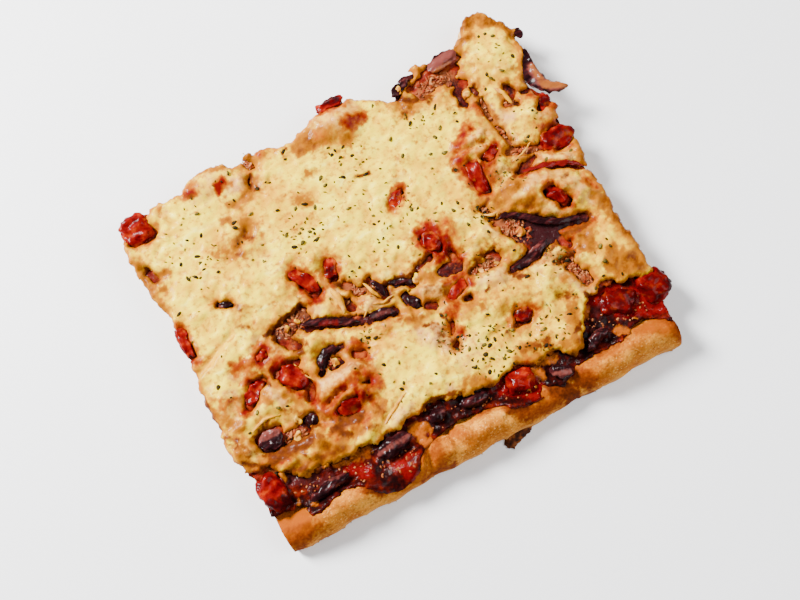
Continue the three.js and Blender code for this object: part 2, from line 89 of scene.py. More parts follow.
def wandered(points, reach, size, seed):
    """The points moved about by up to reach mm, so that outlines drawn through them come out ragged."""
    moves = [uneven(points, size, number, 3) for number in (seed, seed + 1)]
    return points + reach * np.stack(moves, axis=1)


def depth_in(points, spot):
    """How far inside a spot each point lies, in mm. A spot is a line and a radius round it."""
    x1, y1, x2, y2, radius = spot[:5]
    start, along = np.array([x1, y1]), np.array([x2 - x1, y2 - y1])
    t = np.clip(((points - start) @ along) / max(along @ along, 1e-6), 0, 1)
    return radius - np.linalg.norm(points - start - t[:, None] * along, axis=1)


def deepest(points, spots):
    """How far inside the nearest of several spots each point lies."""
    return np.max([depth_in(points, spot) for spot in spots], axis=0)


def soft(depth, blur):
    """0 outside and 1 inside, with a smooth change that is blur mm wide."""
    t = np.clip(depth / blur + 0.5, 0, 1)
    return t * t * (3 - 2 * t)


def strength(points, spots, blur):
    """The strongest of several soft spots at each point. A spot's sixth number is its own strength."""
    return np.max([soft(depth_in(points, spot), blur) * spot[5] for spot in spots], axis=0)


def stain(spots, blur, reach, size, seed):
    """A paint's rule: soft spots whose outlines wander by up to reach mm, in waves of size mm."""
    return lambda p: strength(wandered(p[:, :2], reach, size, seed), spots, blur)


def nearness(points, spots, reach):
    """How close each point lies to some spots: 1 at an edge or between two of them, 0 at twice the reach."""
    away = (np.minimum(depth_in(points, spot), 0) / reach for spot in spots)
    return np.minimum(sum(np.exp(-(distance**2)) for distance in away), 1)


def mounds(points, hills):
    """The sum of smooth hills, each an oval given by its middle, half-lengths, turn in degrees and rise."""
    total = np.zeros(len(points))
    for x, y, long, wide, turn, rise in hills:
        c, s = math.cos(math.radians(turn)), math.sin(math.radians(turn))
        dx, dy = points[:, 0] - x, points[:, 1] - y
        left = 1 - ((dx * c + dy * s) / long) ** 2 - ((dy * c - dx * s) / wide) ** 2
        total += rise * np.maximum(0, left) ** 2
    return total


def read_edge(edge, at):
    """Where an edge lies at each value, read off the line through its points."""
    return np.interp(at, [point[0] for point in edge], [point[1] for point in edge])


# %% [markdown]
# A layer starts as a grid of squares. What lies outside its outline is deleted, and the border that is left
# is slid onto the outline, so it doesn't show the grid's steps. Extruding the sheet downwards closes it.

# %% Grids, layers and finished pieces
def trimmed_grid(depth, columns, rows):
    """A level grid on the given lines, cut to where depth is above 0, its border drawn onto that edge."""
    bm = bmesh.new()
    bmesh.ops.create_grid(bm, x_segments=len(columns) - 1, y_segments=len(rows) - 1, size=0.5)
    for vert in bm.verts:
        vert.co.x = columns[round((vert.co.x + 0.5) * (len(columns) - 1))]
        vert.co.y = rows[round((vert.co.y + 0.5) * (len(rows) - 1))]
    spacing = columns[1] - columns[0]
    outside = [vert for vert, deep in zip(bm.verts[:], depth(plan(bm.verts))) if deep < -0.35 * spacing]
    while outside:
        bmesh.ops.delete(bm, geom=outside, context="VERTS")
        outside = [v for v in bm.verts if sum(e.is_boundary for e in v.link_edges) > 2 or not v.link_faces]
    drop_scraps(bm)
    border = [vert for vert in bm.verts if vert.is_boundary]
    for _ in range(2):
        at = plan(border)
        here = depth(at)
        slope = np.stack([depth(at + (0.2, 0)) - here, depth(at + (0, 0.2)) - here], axis=1) / 0.2
        move = -here[:, None] * slope / np.maximum((slope**2).sum(axis=1), 0.4)[:, None]
        for vert, (dx, dy) in zip(border, np.clip(move, -0.6 * spacing, 0.6 * spacing)):
            vert.co += Vector((dx, dy, 0))
    return bm


def drop_scraps(bm, least=60):
    """Removes islands of fewer faces than least."""
    seen, scraps = set(), []
    for start in bm.faces:
        if start in seen:
            continue
        seen.add(start)
        island = [start]
        for face in island:
            fresh = [other for edge in face.edges for other in edge.link_faces if other not in seen]
            seen.update(fresh)
            island += dict.fromkeys(fresh)
        if len(island) < least:
            scraps += island
    bmesh.ops.delete(bm, geom=scraps, context="FACES")


def thicken(bm, top, under):
    """Makes a level sheet a closed layer between two heights, each given by a rule for points."""
    upper = bm.verts[:]
    made = bmesh.ops.extrude_face_region(bm, geom=bm.faces[:], use_keep_orig=True)["geom"]
    lower = [item for item in made if isinstance(item, bmesh.types.BMVert)]
    for verts, height in ((upper, top), (lower, under)):
        for vert, z in zip(verts, height(plan(verts))):
            vert.co.z = z


def finish(bm, name, material, stands_for, paints=None):
    """Turns a bmesh in mm into a piece in metres, with its paints. It hangs the piece on the root body and
    hides the solids that it stands for.
    """
    bmesh.ops.recalc_face_normals(bm, faces=bm.faces[:])
    mesh = bpy.data.meshes.new(name)
    points = np.array([vert.co for vert in bm.verts])
    bmesh.ops.scale(bm, verts=bm.verts[:], vec=(MM, MM, MM))
    bm.to_mesh(mesh)
    bm.free()
    mesh.shade_smooth()
    for paint, rule in (paints or {}).items():
        values = mesh.attributes.new(paint, "FLOAT", "POINT").data
        values.foreach_set("value", rule(points).astype(np.float32))
    mesh.materials.append(material)
    piece = bpy.data.objects.new(name, mesh)
    bpy.context.scene.collection.objects.link(piece)
    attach(piece, "root")
    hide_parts(*stands_for)
    print(name, "has", sum(len(face.vertices) - 2 for face in mesh.polygons), "triangles")
    return piece


# %% [markdown]
# ## Helpers for materials
# Colours are written as the sRGB hex values that a colour picker shows, and one function turns them to the
# linear values that Blender works with. Each material is a small tree of nodes. Its paints are layers of
# colour that lie where a piece's attribute says, and a fine noise, the grain, roughens their borders, as no
# stain on food ends in a clean line. An image texture could show the stains too, but it would need drawing.

# %% Colours and nodes
def linear(hex_colour):
    """An sRGB hex colour as linear red, green, blue and alpha."""
    channels = [int(hex_colour[i : i + 2], 16) / 255 for i in (1, 3, 5)]
    return [c / 12.92 if c <= 0.04045 else ((c + 0.055) / 1.055) ** 2.4 for c in channels] + [1]


def add(tree, kind, inputs=None, stops=None, **settings):
    """Adds a node. Its settings are given by name, and each input by a value or by another node's output."""
    new = tree.nodes.new("ShaderNode" + kind)
    for setting, value in settings.items():
        setattr(new, setting, value)
    for place, colour in stops or []:
        stop = new.color_ramp.elements.new(place)
        stop.color = linear(colour)
    if stops:
        new.color_ramp.elements.remove(new.color_ramp.elements[0])
        new.color_ramp.elements.remove(new.color_ramp.elements[-1])
    for socket, value in (inputs or {}).items():
        if isinstance(value, bpy.types.NodeSocket):
            tree.links.new(value, new.inputs[socket])
        else:
            new.inputs[socket].default_value = value
    return new


def new_material(name, **surface):
    """An empty material: its tree, its shader with some sockets set, and the piece's own coordinates."""
    material = bpy.data.materials.new(name)
    material.use_nodes = True
    tree = material.node_tree
    shader = tree.nodes["Principled BSDF"]
    for socket, value in surface.items():
        shader.inputs[socket.replace("_", " ")].default_value = value
    where = add(tree, "TexCoord").outputs["Object"]
    return material, tree, shader, where


def speckle(tree, where, size, detail=4):
    """Noise with lumps of size mm on a piece that is measured in metres."""
    return add(tree, "TexNoise", {"Vector": where, "Scale": 1 / (size * MM), "Detail": detail}).outputs["Fac"]


GRAIN_SHARE = 0.9  # how much of a paint's border the grain decides


def lay_paints(tree, base, grain, paints):
    """Lays colours over a base, each where its attribute, roughened by the grain, passes from low to high."""
    for paint, colour, low, high in paints:
        amount = add(tree, "Attribute", attribute_name=paint).outputs["Fac"]
        ragged = add(tree, "Math", {0: grain, 1: GRAIN_SHARE, 2: amount}, operation="MULTIPLY_ADD").outputs[0]
        limits = {"From Min": low + GRAIN_SHARE / 2, "From Max": high + GRAIN_SHARE / 2}
        cover = add(tree, "MapRange", {"Value": ragged, **limits})
        mixed = add(tree, "Mix", {0: cover.outputs[0], 6: base, 7: linear(colour)}, data_type="RGBA")
        base = mixed.outputs[2]
    return base


def patchy_shine(tree, shader, grain, low, high):
    """Roughness that follows the grain from low to high, so fat and juice shine in patches."""
    limits = {"From Min": 0.35, "From Max": 0.65, "To Min": low, "To Max": high}
    shine = add(tree, "MapRange", {"Value": grain, **limits})
    tree.links.new(shine.outputs[0], shader.inputs["Roughness"])


def relief(tree, shader, height, depth_mm, amount, wet=False):
    """Fine relief that is too small for the mesh. On a wet surface it breaks up the reflections too."""
    bump = add(tree, "Bump", {"Height": height, "Strength": amount, "Distance": depth_mm * MM})
    for surface in ("Normal", "Coat Normal") if wet else ("Normal",):
        tree.links.new(bump.outputs[0], shader.inputs[surface])


# %% [markdown]
# ## The outline
# The knife left three fairly straight sides, but the cheese ran and stiffened as it cooled, so each side is
# a line of its own. The points are where it turns. The fourth side is the crust, and the cheese ends well
# before it.

# %% Outline of the slice, in mm
LEFT_EDGE = [  # y, x
    (-82, -97.5), (-60, -98), (-45, -97), (-35, -98), (-31, -100), (-22, -101), (-17, -98), (-10, -99.5),
    (0, -99), (15, -97.5), (27, -96.5), (43, -95.5), (46, -97.5), (60, -99), (70, -100), (78, -99),
    (92, -97),
]
BACK_EDGE = [  # x, y
    (-100, 89), (-94, 89.5), (-87, 91.5), (-82, 88.5), (-75, 89), (-66, 87), (-60, 92), (-54, 93.5),
    (-43, 91.5), (-40, 88), (-36, 87), (-32, 91.5), (-28, 89), (-20, 88), (-16, 85.5), (-10, 85.5), (0, 88),
    (5, 90.5), (9, 94), (15, 95.5), (20, 93.5), (26, 89), (35, 83), (40, 80), (45, 85), (50, 87.5),
    (57, 90.5), (64, 88), (77, 88.5), (84, 92), (88, 98), (91, 99.3), (97, 98.5), (103, 92), (110, 88),
]
RIGHT_EDGE = [  # y, x
    (-82, 101), (-65, 101), (-38, 104.5), (-22, 103), (-5, 104.5), (5, 103), (12, 104), (17, 106),
    (22, 106), (38, 106.5), (46, 105), (56, 101), (66, 103), (72, 108), (82, 109), (86, 105), (92, 103),
    (100, 97),
]
CHEESE_FRONT = [  # x, y
    (-98, -37), (-88, -41), (-80, -48.6), (-74, -51.4), (-60, -52.4), (-50, -52), (-40, -54.6), (-30, -53),
    (-22, -51.6), (-12, -53), (-5, -54), (6, -55), (14, -58), (22, -55), (38, -58), (46, -57), (54, -65),
    (60, -60), (64, -53), (70, -45), (80, -41), (90, -46), (104, -49),
]
print("the outline turns at", sum(map(len, (LEFT_EDGE, BACK_EDGE, RIGHT_EDGE, CHEESE_FRONT))), "points")


def inside_cuts(points):
    """How far each point lies inside the three cut sides, in mm."""
    x, y = points.T
    left, right, back = read_edge(LEFT_EDGE, y), read_edge(RIGHT_EDGE, y), read_edge(BACK_EDGE, x)
    return np.min([x - left, right - x, back - y], axis=0)


# %% [markdown]
# ## Cheese
# Grated cheese melted into a soft, uneven sheet. It slumped over the tomato chunks as smooth pale mounds,
# pulled apart into openings that show what lies below, and left a few strings across them. The sheet is one
# grid with the openings cut out of it. Booleans could cut them too, but would leave sharp rims, and melted
# cheese has a skin: here its edge is rounded by a quarter circle.

# %% Openings and strings: a line from end to end, and a radius
RED_GAPS = [  # over tomato and sauce
    (-93, 87, -85, 89, 3.4), (-93, 79, -86, 78.5, 3.2), (-94, 83, -88, 84, 3.4), (-95, 29, -95, 20, 2),
    (-38.5, 28, -35, 26, 1.8), (-35.5, 25, -33.5, 17.6, 2.6), (-22, 25, -24, 19.6, 2),
    (17.5, 36.5, 22.5, 40, 1), (22, 13.4, 24.5, 9.6, 2.8), (21, -2, 28, -3, 2.9), (29.5, 1, 28.5, 3.5, 1.3),
    (19.5, -13, 26, -11.5, 1.4), (56.5, 33, 57, 22, 2.2), (64, 33, 69, 35.5, 1.2),
    (62.3, 35, 62.7, 34.2, 0.9), (91, 27, 98, 28, 2.6), (96, 30, 106, 32, 2.8), (97, 24, 102, 24.5, 2.2),
    (106, 38, 107, 24, 1.8), (98.5, 43, 103, 46, 1.7), (100.5, 58, 101.5, 51, 1.4), (101.5, 51, 105, 46, 2),
    (81, 5.5, 86, -1, 2.8), (76, 19.5, 86, 18.3, 0.6), (87, 16.8, 97, 11.5, 0.9), (97, 11.5, 103, 7.5, 0.8),
    (40.4, -35.6, 43.6, -36.4, 1.6), (39, -39, 43, -39.5, 1.4), (-63, -8, -58.5, -14, 4),
    (-59, -6, -55, -6, 2), (-55, -18, -57, -23, 1.7), (-77, -6, -73, -6, 2), (-83, -13, -79, -9, 2.2),
    (-52, -28.6, -43, -26.8, 0.35), (-48, -34.6, -42, -33.4, 2), (-34, -28, -31.5, -29, 0.5),
    (-31, -16, -28.5, -17, 2.1), (9, 93.5, 20, 92.3, 2.5), (-68.5, 3.6, -66.5, 4.4, 1.2),
]
BROWN_GAPS = [  # over tuna and onion
    (-58, 10.4, -42, 13.8, 1.5), (-57, 7, -52, 0, 2.4), (-53, 8.6, -43, 9.6, 2.6),
    (-46, 6.6, -31, 0.8, 2.1), (-31, 0.6, -22, -3.2, 2.3), (-24, 7, -22, 3, 1.9),
    (-20.5, 15, -18, 11.5, 1.3), (-10, 9.5, -7, 1, 2.2), (-17.5, 8.5, -14, 8, 2),
    (-18.5, -4.4, -6.5, -7.2, 2), (-5, 4, 2, 3, 1.5), (2, 3, 6.5, -1, 1.4), (0.8, -4, 3, -9, 2.4),
    (5, 2.4, 12, 3, 0.9), (12, 5, 20, 6.6, 1.2), (-48, -15.4, -45, -9.6, 1.5), (-45, -9.6, -38, -8.2, 1.8),
    (-38, -8.2, -34.5, -9.6, 1.2), (-43, -13, -40, -14, 2.1), (-43, -16.6, -38, -16, 1.2),
    (-85, -28.3, -78, -28.3, 2.7), (-85, -32.5, -76, -33, 2.4), (-74, -33, -66, -33.5, 2.6),
    (-63.5, -31, -60.5, -31.5, 2.4), (53, 6, 60, 5.2, 1.6), (60, 5, 68, 0.6, 1.7),
    (68, -0.6, 76, -6.6, 2.2), (75, -8.6, 90, -11.6, 2), (57, 1, 62, -4.5, 4), (49, -16.4, 62, -15.6, 2.2),
    (62, -14, 74, -10, 3), (61, -9, 70, -8, 1.8), (74, -13, 77, -19, 1.8), (33, -9, 38, -8.5, 1.7),
    (39, -9, 46, -9, 2), (42, -6, 45, -5, 1.3), (7.4, -12, 10, -13.4, 1.7), (24.4, -18, 25.6, -18.4, 1.5),
    (11, -28, 13, -23.6, 1.2), (69.4, 62, 68.8, 69, 1.9), (69, 74.6, 73.6, 71, 2.4),
    (57, 79, 72, 80.4, 4.6), (62, 84, 76, 85, 3), (51, 80.6, 53.6, 75, 1.8), (42.4, 80.6, 46, 84, 2.2),
    (48, 85, 54, 86.4, 1.8), (76.3, 66.6, 77, 64.4, 1.3), (90, 59.6, 91, 57, 1.5),
    (86.4, 52.6, 90.4, 51, 1.5), (89.6, 55.6, 90.6, 54.6, 1.4), (95.4, 53.8, 99, 53.6, 0.8),
    (77, 60, 76.4, 50, 1.3), (77, 46, 78, 35, 0.9), (75, 32, 87, 27.6, 1.5), (74, 21.4, 84, 24, 1.5),
    (51, 14.6, 52.4, 9, 1.6), (-34.6, 79, -35.8, 75.4, 0.6), (-33, 87, -31.4, 84, 1.7),
    (-95, 62, -93.4, 58, 1.2), (-74, 33.8, -69.4, 31.4, 0.9), (70, -24, 75, -24.4, 1.1),
    (73, -29, 76, -37, 2.6), (9.4, -34.6, 11.4, -32.6, 0.9), (-15, -51.6, -8, -53, 1.4),
    (108, 78, 110, 70, 1.6),
]
STRINGS = [
    (-29, 33, -27, 20, 2.2), (-31, 30, -28, 29.6, 3.2), (-3.2, 2.4, -3.4, -9, 1.9),
    (-25.6, 9, -26.6, 2, 1.1), (-48, 5, -38, -1.6, 1), (62, 46, 70, 40, 2), (-13, -2.6, -5, -0.4, 0.9),
    (51, 31, 55, 35.6, 0.8), (58.5, 29.5, 64, 25.5, 0.8), (72, 66.5, 72.4, 63.6, 2.2),
]
GAPS = RED_GAPS + BROWN_GAPS
print("openings are drawn by", len(GAPS), "lines, and bridged by", len(STRINGS))

# %% Height of the cheese, in mm
MOUNDS = [  # x, y, half-lengths, turn in degrees, rise
    (12, 82, 17, 14, 0, 5), (83, 8, 27, 16, -25, 6), (62, 38, 16, 19, 0, 4.2), (26, 13, 15, 12, 0, 2.6),
    (-41, -27, 18, 15, 0, 5), (-70, -14, 12, 9, 0, 2.2), (-91, -8, 10, 14, 0, 1.6), (-92, -29, 9, 8, 0, 3),
    (55, -56, 10, 12, 0, 3.2), (30, -26, 24, 10, -12, 2.6), (60, -30, 16, 9, 15, 2.4),
    (0, -42, 26, 11, 0, 2.2), (91, 77, 14, 16, 0, 2.6), (94, 42, 11, 11, 0, 3), (-29, 29, 7, 7, 0, 3),
    (-54, 85, 16, 8, 0, 2.4), (93, -27, 13, 15, 0, 1.2), (49, -4, 10, 8, -40, 2.2),
    (-48, -3, 10, 6, 20, 1.8), (-60, 30, 60, 40, 0, 0.8), (-48, 56, 6, 8, -40, -1.6),
    (-69, 4, 9, 6, 0, 1.6), (-85, 10, 12, 8, 0, 0.8), (40, -16, 9, 6, 0, 1.4), (-84, -18, 14, 5, 0, 1.6),
    (-51, -11, 5, 7, 0, 1.4), (-62, -40, 12, 7, -20, 1.8), (-77, -43, 8, 4, 0, 1.2),
    (-40, -46, 10, 6, 20, 1.6), (-27, -49, 8, 5, 15, 1.6), (12, -7, 10, 7, 0, 1.8), (22, -36, 14, 6, 0, 1),
    (-12, -22, 16, 12, 0, 1), (62, 44, 10, 3, 10, 1.4), (62, 38, 9, 3, -10, 1.2), (90, 19, 12, 4, -25, 1.4),
    (-78, -42, 6, 4, 20, 1.3), (-68, -45, 5, 4, -10, 1.4), (-57, -46, 6, 4, 30, 1.3),
    (-47, -42, 5, 4, 0, 1.1), (-44, -50, 6, 4, 20, 1.3), (-33, -46, 8, 4, 30, 1.2),
    (-88, -38, 7, 4, -30, 1.2), (-64, -37, 6, 4, 0, 1.2), (-52, -38, 5, 4, 0, 1), (8, -5, 5, 4, 0, 1.2),
    (14, -9, 6, 4, 20, 1.1), (36, -3, 7, 4, -30, 1.3), (3, -26, 5, 7, 0, 1.2), (9, -22, 4, 5, 0, 0.9),
    (-14, -12, 6, 4, 0, 1.1), (-2, -14, 5, 4, 0, 1), (70, -33, 5, 7, -20, 1.1), (62, -24, 7, 4, 10, 1),
    (44, 4, 6, 5, 0, 1), (97, 16, 8, 4, -20, 1.2), (88, -2, 8, 4, 20, 1.2), (24, -44, 8, 4, 10, 0.8),
    (46, -48, 7, 4, -10, 1), (-20, 10, 6, 4, 50, 0.9),
]
CREASES = [  # furrows between folds of cheese: a line, its half-width and its depth
    (-54, -28.4, -38, -26, 1.6, 1.2), (-33, -24, -31, -32, 1.4, 0.9), (-45, -38, -34, -37, 1.5, 1),
    (-75, 19, -103, 7, 1.2, 1.2), (53, 42, 66, 41, 1.3, 1), (55, 34, 60, 38, 1.2, 0.8),
    (56, 47, 70, 49, 1.1, 0.7), (74, 17, 86, 10, 1.2, 0.7), (86, 9, 97, 6, 1.2, 0.8),
    (97, 6, 101, -2, 1.2, 0.8), (76, 8, 84, -6, 1.2, 0.6), (-20, -40, -34, -48, 1.3, 0.9),
    (-96, -35, -88, -40, 1.4, 0.9), (-56, 50, -47, 57, 1.6, 0.9), (34, -37, 24, -38, 1.2, 0.8),
    (60, -38, 68, -41, 1.3, 0.9), (66, 8, 74, 0, 1.4, 0.8), (-36, 74, -46, 70, 1.3, 0.7),
    (-90, -15, -97, -18, 1.4, 0.8), (4, -38, 1, -34, 1.1, 0.5), (-66, -50, -74, -44, 1.2, 0.8),
    (-2, 78, 8, 74, 1.6, 0.6), (42, 75, 43, 68, 1.3, 0.8), (77, 58, 78, 34, 1.6, 1),
]
SHEET_TOP, SHEET_UNDER, THINNEST = 16.3, 13.1, 0.35
EDGE_ROUND, EDGE_DROP, SAG = 2.2, 2.1, 1.1
print("mounds:", len(MOUNDS), "furrows:", len(CREASES))
print("the sheet is", round(SHEET_TOP - SHEET_UNDER, 1), "mm thick where it is level")


def cheese_depth(points):
    """How far inside the cheese each point lies. Its outline and openings wander by about a millimetre."""
    moved = wandered(points, 0.9, 5, 1)
    front = moved[:, 1] - read_edge(CHEESE_FRONT, moved[:, 0]) + 1.7 * uneven(points, 8, 9, 4)
    sheet = np.min([inside_cuts(moved), front, -deepest(moved, GAPS)], axis=0)
    return np.maximum(sheet, deepest(moved, STRINGS))


def cheese_skin(points):
    """The upper side without its rounded edges: mounds, furrows and lumps, most of them by the openings."""
    busy = nearness(points, GAPS, 9)
    shreds = uneven(np.stack([points.sum(axis=1) / 9, (points[:, 0] - points[:, 1]) / 2.2], axis=1), 1, 8)
    torn = 0.8 * uneven(points, 6, 14, 2) + 0.12 * np.abs(uneven(points, 2.8, 15))
    small = 0.5 * uneven(points, 8, 4, 2) + 0.07 * np.abs(uneven(points, 3.6, 6))
    small = small + 0.03 * uneven(points, 1.9, 5) + 0.12 * shreds + busy * torn
    furrows = np.sum([line[5] * soft(depth_in(points, line), 2.4) for line in CREASES], axis=0)
    return SHEET_TOP + 0.5 * uneven(points, 24, 3) + small + mounds(points, MOUNDS) - furrows


def cheese_top(points):
    """The upper side with its edges rounded, and sagging a little towards every opening."""
    t = np.clip(cheese_depth(points) / EDGE_ROUND, 0, 1)
    drop = EDGE_DROP * (1 - np.sqrt(1 - (1 - t) ** 2))
    sags = SAG * soft(deepest(points, GAPS) + 3, 8)
    return np.maximum(cheese_skin(points) - drop - sags, SHEET_UNDER + THINNEST)


# %% [markdown]
# The oven coloured the cheese unevenly. It is a deeper yellow where its own fat gathered, pinkish where it
# is a thin film over tuna or tomato, tan where oil and sauce soaked through, orange where it toasted, red
# right over tomato, and brown in the furrows and along some openings, which is partly browning and partly
# painted shade. Each of these is a list of spots, and a spot ends with how strong it is. Four more paints
# need no list: the fat and juice round the openings, the darker edge, which toasted and also carries painted
# shade on its rounded slope, and painted shade in the hollows.

# %% Stains on the cheese
YELLOW = [
    (-82, 17, -77, 15, 3, 0.6), (-98, 13, -86, 12, 4, 0.8), (-45, 62, -40, 66, 7, 0.9),
    (-36, 68, -28, 66, 6, 0.9), (-30, 52, -22, 50, 6, 0.7), (-20, 60, -15, 58, 4, 1),
    (-60, 62, -66, 58, 5, 0.7), (-38, 60, -36, 50, 4, 0.6), (-23, 73, -22, 70, 3, 0.6),
    (-36, 82, -20, 86, 4, 0.7), (-12, 84, -2, 84, 5, 0.9), (28, 48, 34, 42, 5, 0.4), (5, 66, 8, 58, 6, 0.4),
    (42, 74, 48, 72, 5, 1), (56, 70, 62, 68, 4, 0.9), (40, 36, 44, 20, 7, 0.5), (-58, 38, -58, 36, 2.4, 1),
    (-30, 8, -30, 14, 2.6, 1), (4, 9, 8, 8, 6, 0.5), (-25, -15, -18, -18, 5, 0.9),
    (-12, -16, -13, -26, 4, 0.6), (-64, -42, -60, -44, 4, 1), (-66, -46, -58, -48, 4, 1),
    (-38, -44, -38, -47, 4, 0.8), (54, -56, 56, -60, 6, 1), (90, -30, 94, -36, 7, 1),
    (96, -14, 94, -20, 5, 0.9), (102, -12, 100, -30, 3, 0.9), (56, 12, 63, 16, 5, 1),
    (88, 90, 96, 92, 5, 1), (84, 72, 90, 68, 7, 0.6), (102, 84, 104, 74, 4, 1), (-70, 46, -60, 44, 8, 0.5),
    (-66, 28, -70, 24, 4, 0.6), (16, -48, 24, -46, 8, 0.5), (40, -50, 50, -48, 6, 0.6),
    (-51, -11, -50, -14, 3, 0.9), (-35, 16, -31, 10, 4, 0.6), (-97, 46, -95, 50, 3, 0.9),
    (-48, 3, -40, -2, 3, 0.5), (32, -26, 44, -24, 8, 0.5), (56, -2, 50, -6, 4, 0.5),
    (-84, 56, -78, 46, 10, 0.35), (22, 30, 34, 32, 8, 0.35),
]
TAN = [
    (-88, -36, -62, -38, 5, 1), (-80, -46, -60, -50, 4, 1), (42, 78, 48, 74, 5, 1),
    (97, -10, 104, -2, 4, 0.8), (101, -24, 103, -42, 4, 1), (-90, -30, -96, -20, 4, 0.8),
    (-50, -43, -38, -48, 3, 0.6), (36, -46, 58, -40, 5, 0.5), (-16, -44, -4, -46, 3, 0.4),
    (76, 8, 72, 14, 4, 0.6), (-97, 10, -98, -30, 4, 0.8), (-80, 0, -60, -1, 4, 0.7),
    (-69, -5, -62, -22, 5, 0.9), (-92, -8, -84, -14, 5, 0.8), (-95, -38, -84, -38, 5, 1),
    (-75, -24, -66, -25, 5, 1), (-60, -26, -54, -34, 6, 1), (-40, -40, -33, -42, 4, 0.9),
    (-20, -40, -34, -48, 1.8, 0.9), (-18, -12, -10, -11, 4, 0.9), (-4, -13, 2, -16, 5, 1),
    (10, -4, 14, -8, 6, 0.7), (14, -16, 20, -22, 5, 1), (12, 2, 16, 4, 4, 0.7), (16, 20, 22, 21, 3, 0.9),
    (28, 18, 34, 12, 7, 0.9), (-18, 82, -12, 84, 3, 0.6), (2, 82, 6, 78, 8, 0.9), (12, 74, 16, 74, 4, 0.9),
    (16, 88, 20, 84, 8, 0.7), (-70, 21, -65, 17, 3, 0.9), (-52, 27, -52, 22, 2.2, 0.8),
    (-44, 22, -40, 14, 4, 0.8), (51, 42, 53, 26, 5, 0.9), (60, 30, 64, 22, 5, 0.9), (72, 62, 74, 40, 4, 1),
    (66, 70, 50, 73, 5, 0.7), (74, 24, 80, 26, 6, 0.9), (92, 36, 98, 33, 5, 0.9), (62, 10, 73, 3, 5, 1),
    (74, 17, 88, 10, 6, 0.7), (88, 6, 100, -2, 6, 0.6), (77, -17, 84, -18, 4, 1), (94, -41, 100, -42, 5, 1),
    (76, -36, 73, -26, 6, 1), (60, -28, 66, -32, 6, 0.7), (62, -38, 66, -41, 4, 0.9),
    (36, -24, 48, -26, 9, 0.55), (34, -40, 48, -34, 7, 0.8), (32, -54, 44, -58, 5, 1),
    (58, -44, 60, -52, 5, 0.9), (2, -36, 0, -40, 3, 0.7), (4, -52, 12, -54, 4, 1),
    (-50, -50, -56, -46, 5, 0.9), (-72, -46, -62, -50, 5, 0.9), (-46, 50, -58, 54, 6, 0.9),
    (-68, 29, -66, 26, 3, 1), (-64, 8, -60, 12, 4, 0.6), (-52, 16, -40, 17, 3, 0.8),
    (-86, -44, -76, -46, 5, 1), (-34, -32, -28, -24, 6, 0.8), (-47, -31, -38, -30, 8, 1),
    (-24, 30, -19, 24, 5, 0.9), (-40, 34, -30, 36, 3, 0.9), (-41, 26, -38, 16, 3, 0.9),
    (86, 52, 90, 60, 3.5, 0.8), (96, 58, 100, 52, 4, 0.7), (46, 76, 44, 72, 4, 1), (68, 76, 76, 76, 4, 1),
    (-47, 73, -34, 72, 3, 0.9), (-64, 86, -58, 88, 4, 0.9), (-35, 88, -28, 87, 5, 1),
    (30, -2, 44, 0, 5, 0.7), (46, -12, 54, -10, 4, 0.8), (66, -18, 76, -24, 4, 0.5),
    (-97, 70, -98, 50, 3, 1), (100, 30, 104, 4, 4, 0.8), (70, 52, 60, 53, 4, 0.7),
]
PINK = [
    (-44, 80.6, -38, 80, 2.2, 1), (68, -28, 75, -41, 4, 1), (68, 14, 86, 14, 5, 0.9),
    (76, 2, 82, -4, 4, 0.9), (90, 4, 98, -4, 6, 0.9), (86, 21, 98, 16, 3.6, 0.9),
    (-51, -22, -40, -20, 5, 1), (-34, -18, -32, -24, 5, 1), (-37, -12, -36, -14, 3, 1),
    (-34, -35, -37, -34, 3, 1), (-72, -11, -69, -18, 3.6, 1), (-92, -12, -88, -9, 6, 0.8),
    (-92, -29, -91, -34, 4, 0.9), (-82, 2, -78, 0, 4, 0.7), (-66, 8, -60, 4, 5, 0.7),
    (-40, 13, -36, 10, 3, 0.9), (-27, 22, -25, 8, 3, 0.9), (-20, 2, -12, 2, 4, 1), (8, -6, 16, -9, 5, 0.9),
    (1, -22, 8, -32, 6, 0.9), (8, 86, 16, 84, 10, 0.9), (-56, 88, -46, 88, 6, 0.6),
    (-45, 79, -38, 78, 3.5, 1), (58, 45.6, 70, 45, 3, 0.9), (60, 39, 66, 38.5, 2.6, 1),
    (66, 26, 70, 22, 5, 0.6), (76, 56, 78, 34, 3, 1), (80, 48, 84, 46, 3.6, 0.9), (98, 40, 101, 38, 5, 0.8),
    (80, 28.5, 85, 27, 4, 0.8), (34, -16, 44, -17, 4, 0.8), (60, -20, 72, -20, 4, 0.7),
    (-30, -50, -24, -48, 4, 0.8), (-2, -50, 2, -50, 3, 0.8), (-60, 80, -52, 82, 5, 0.5),
    (-76, 84, -80, 86, 3, 0.6), (-50, 44, -44, 38, 6, 0.3), (10, -42, 16, -38, 6, 0.5),
    (-84, -16, -78, -14, 4, 0.5), (48, 4, 54, 1, 4, 0.7), (-70, -28, -66, -29, 3, 0.8),
    (-80, -42, -76, -44, 4, 0.6),
]
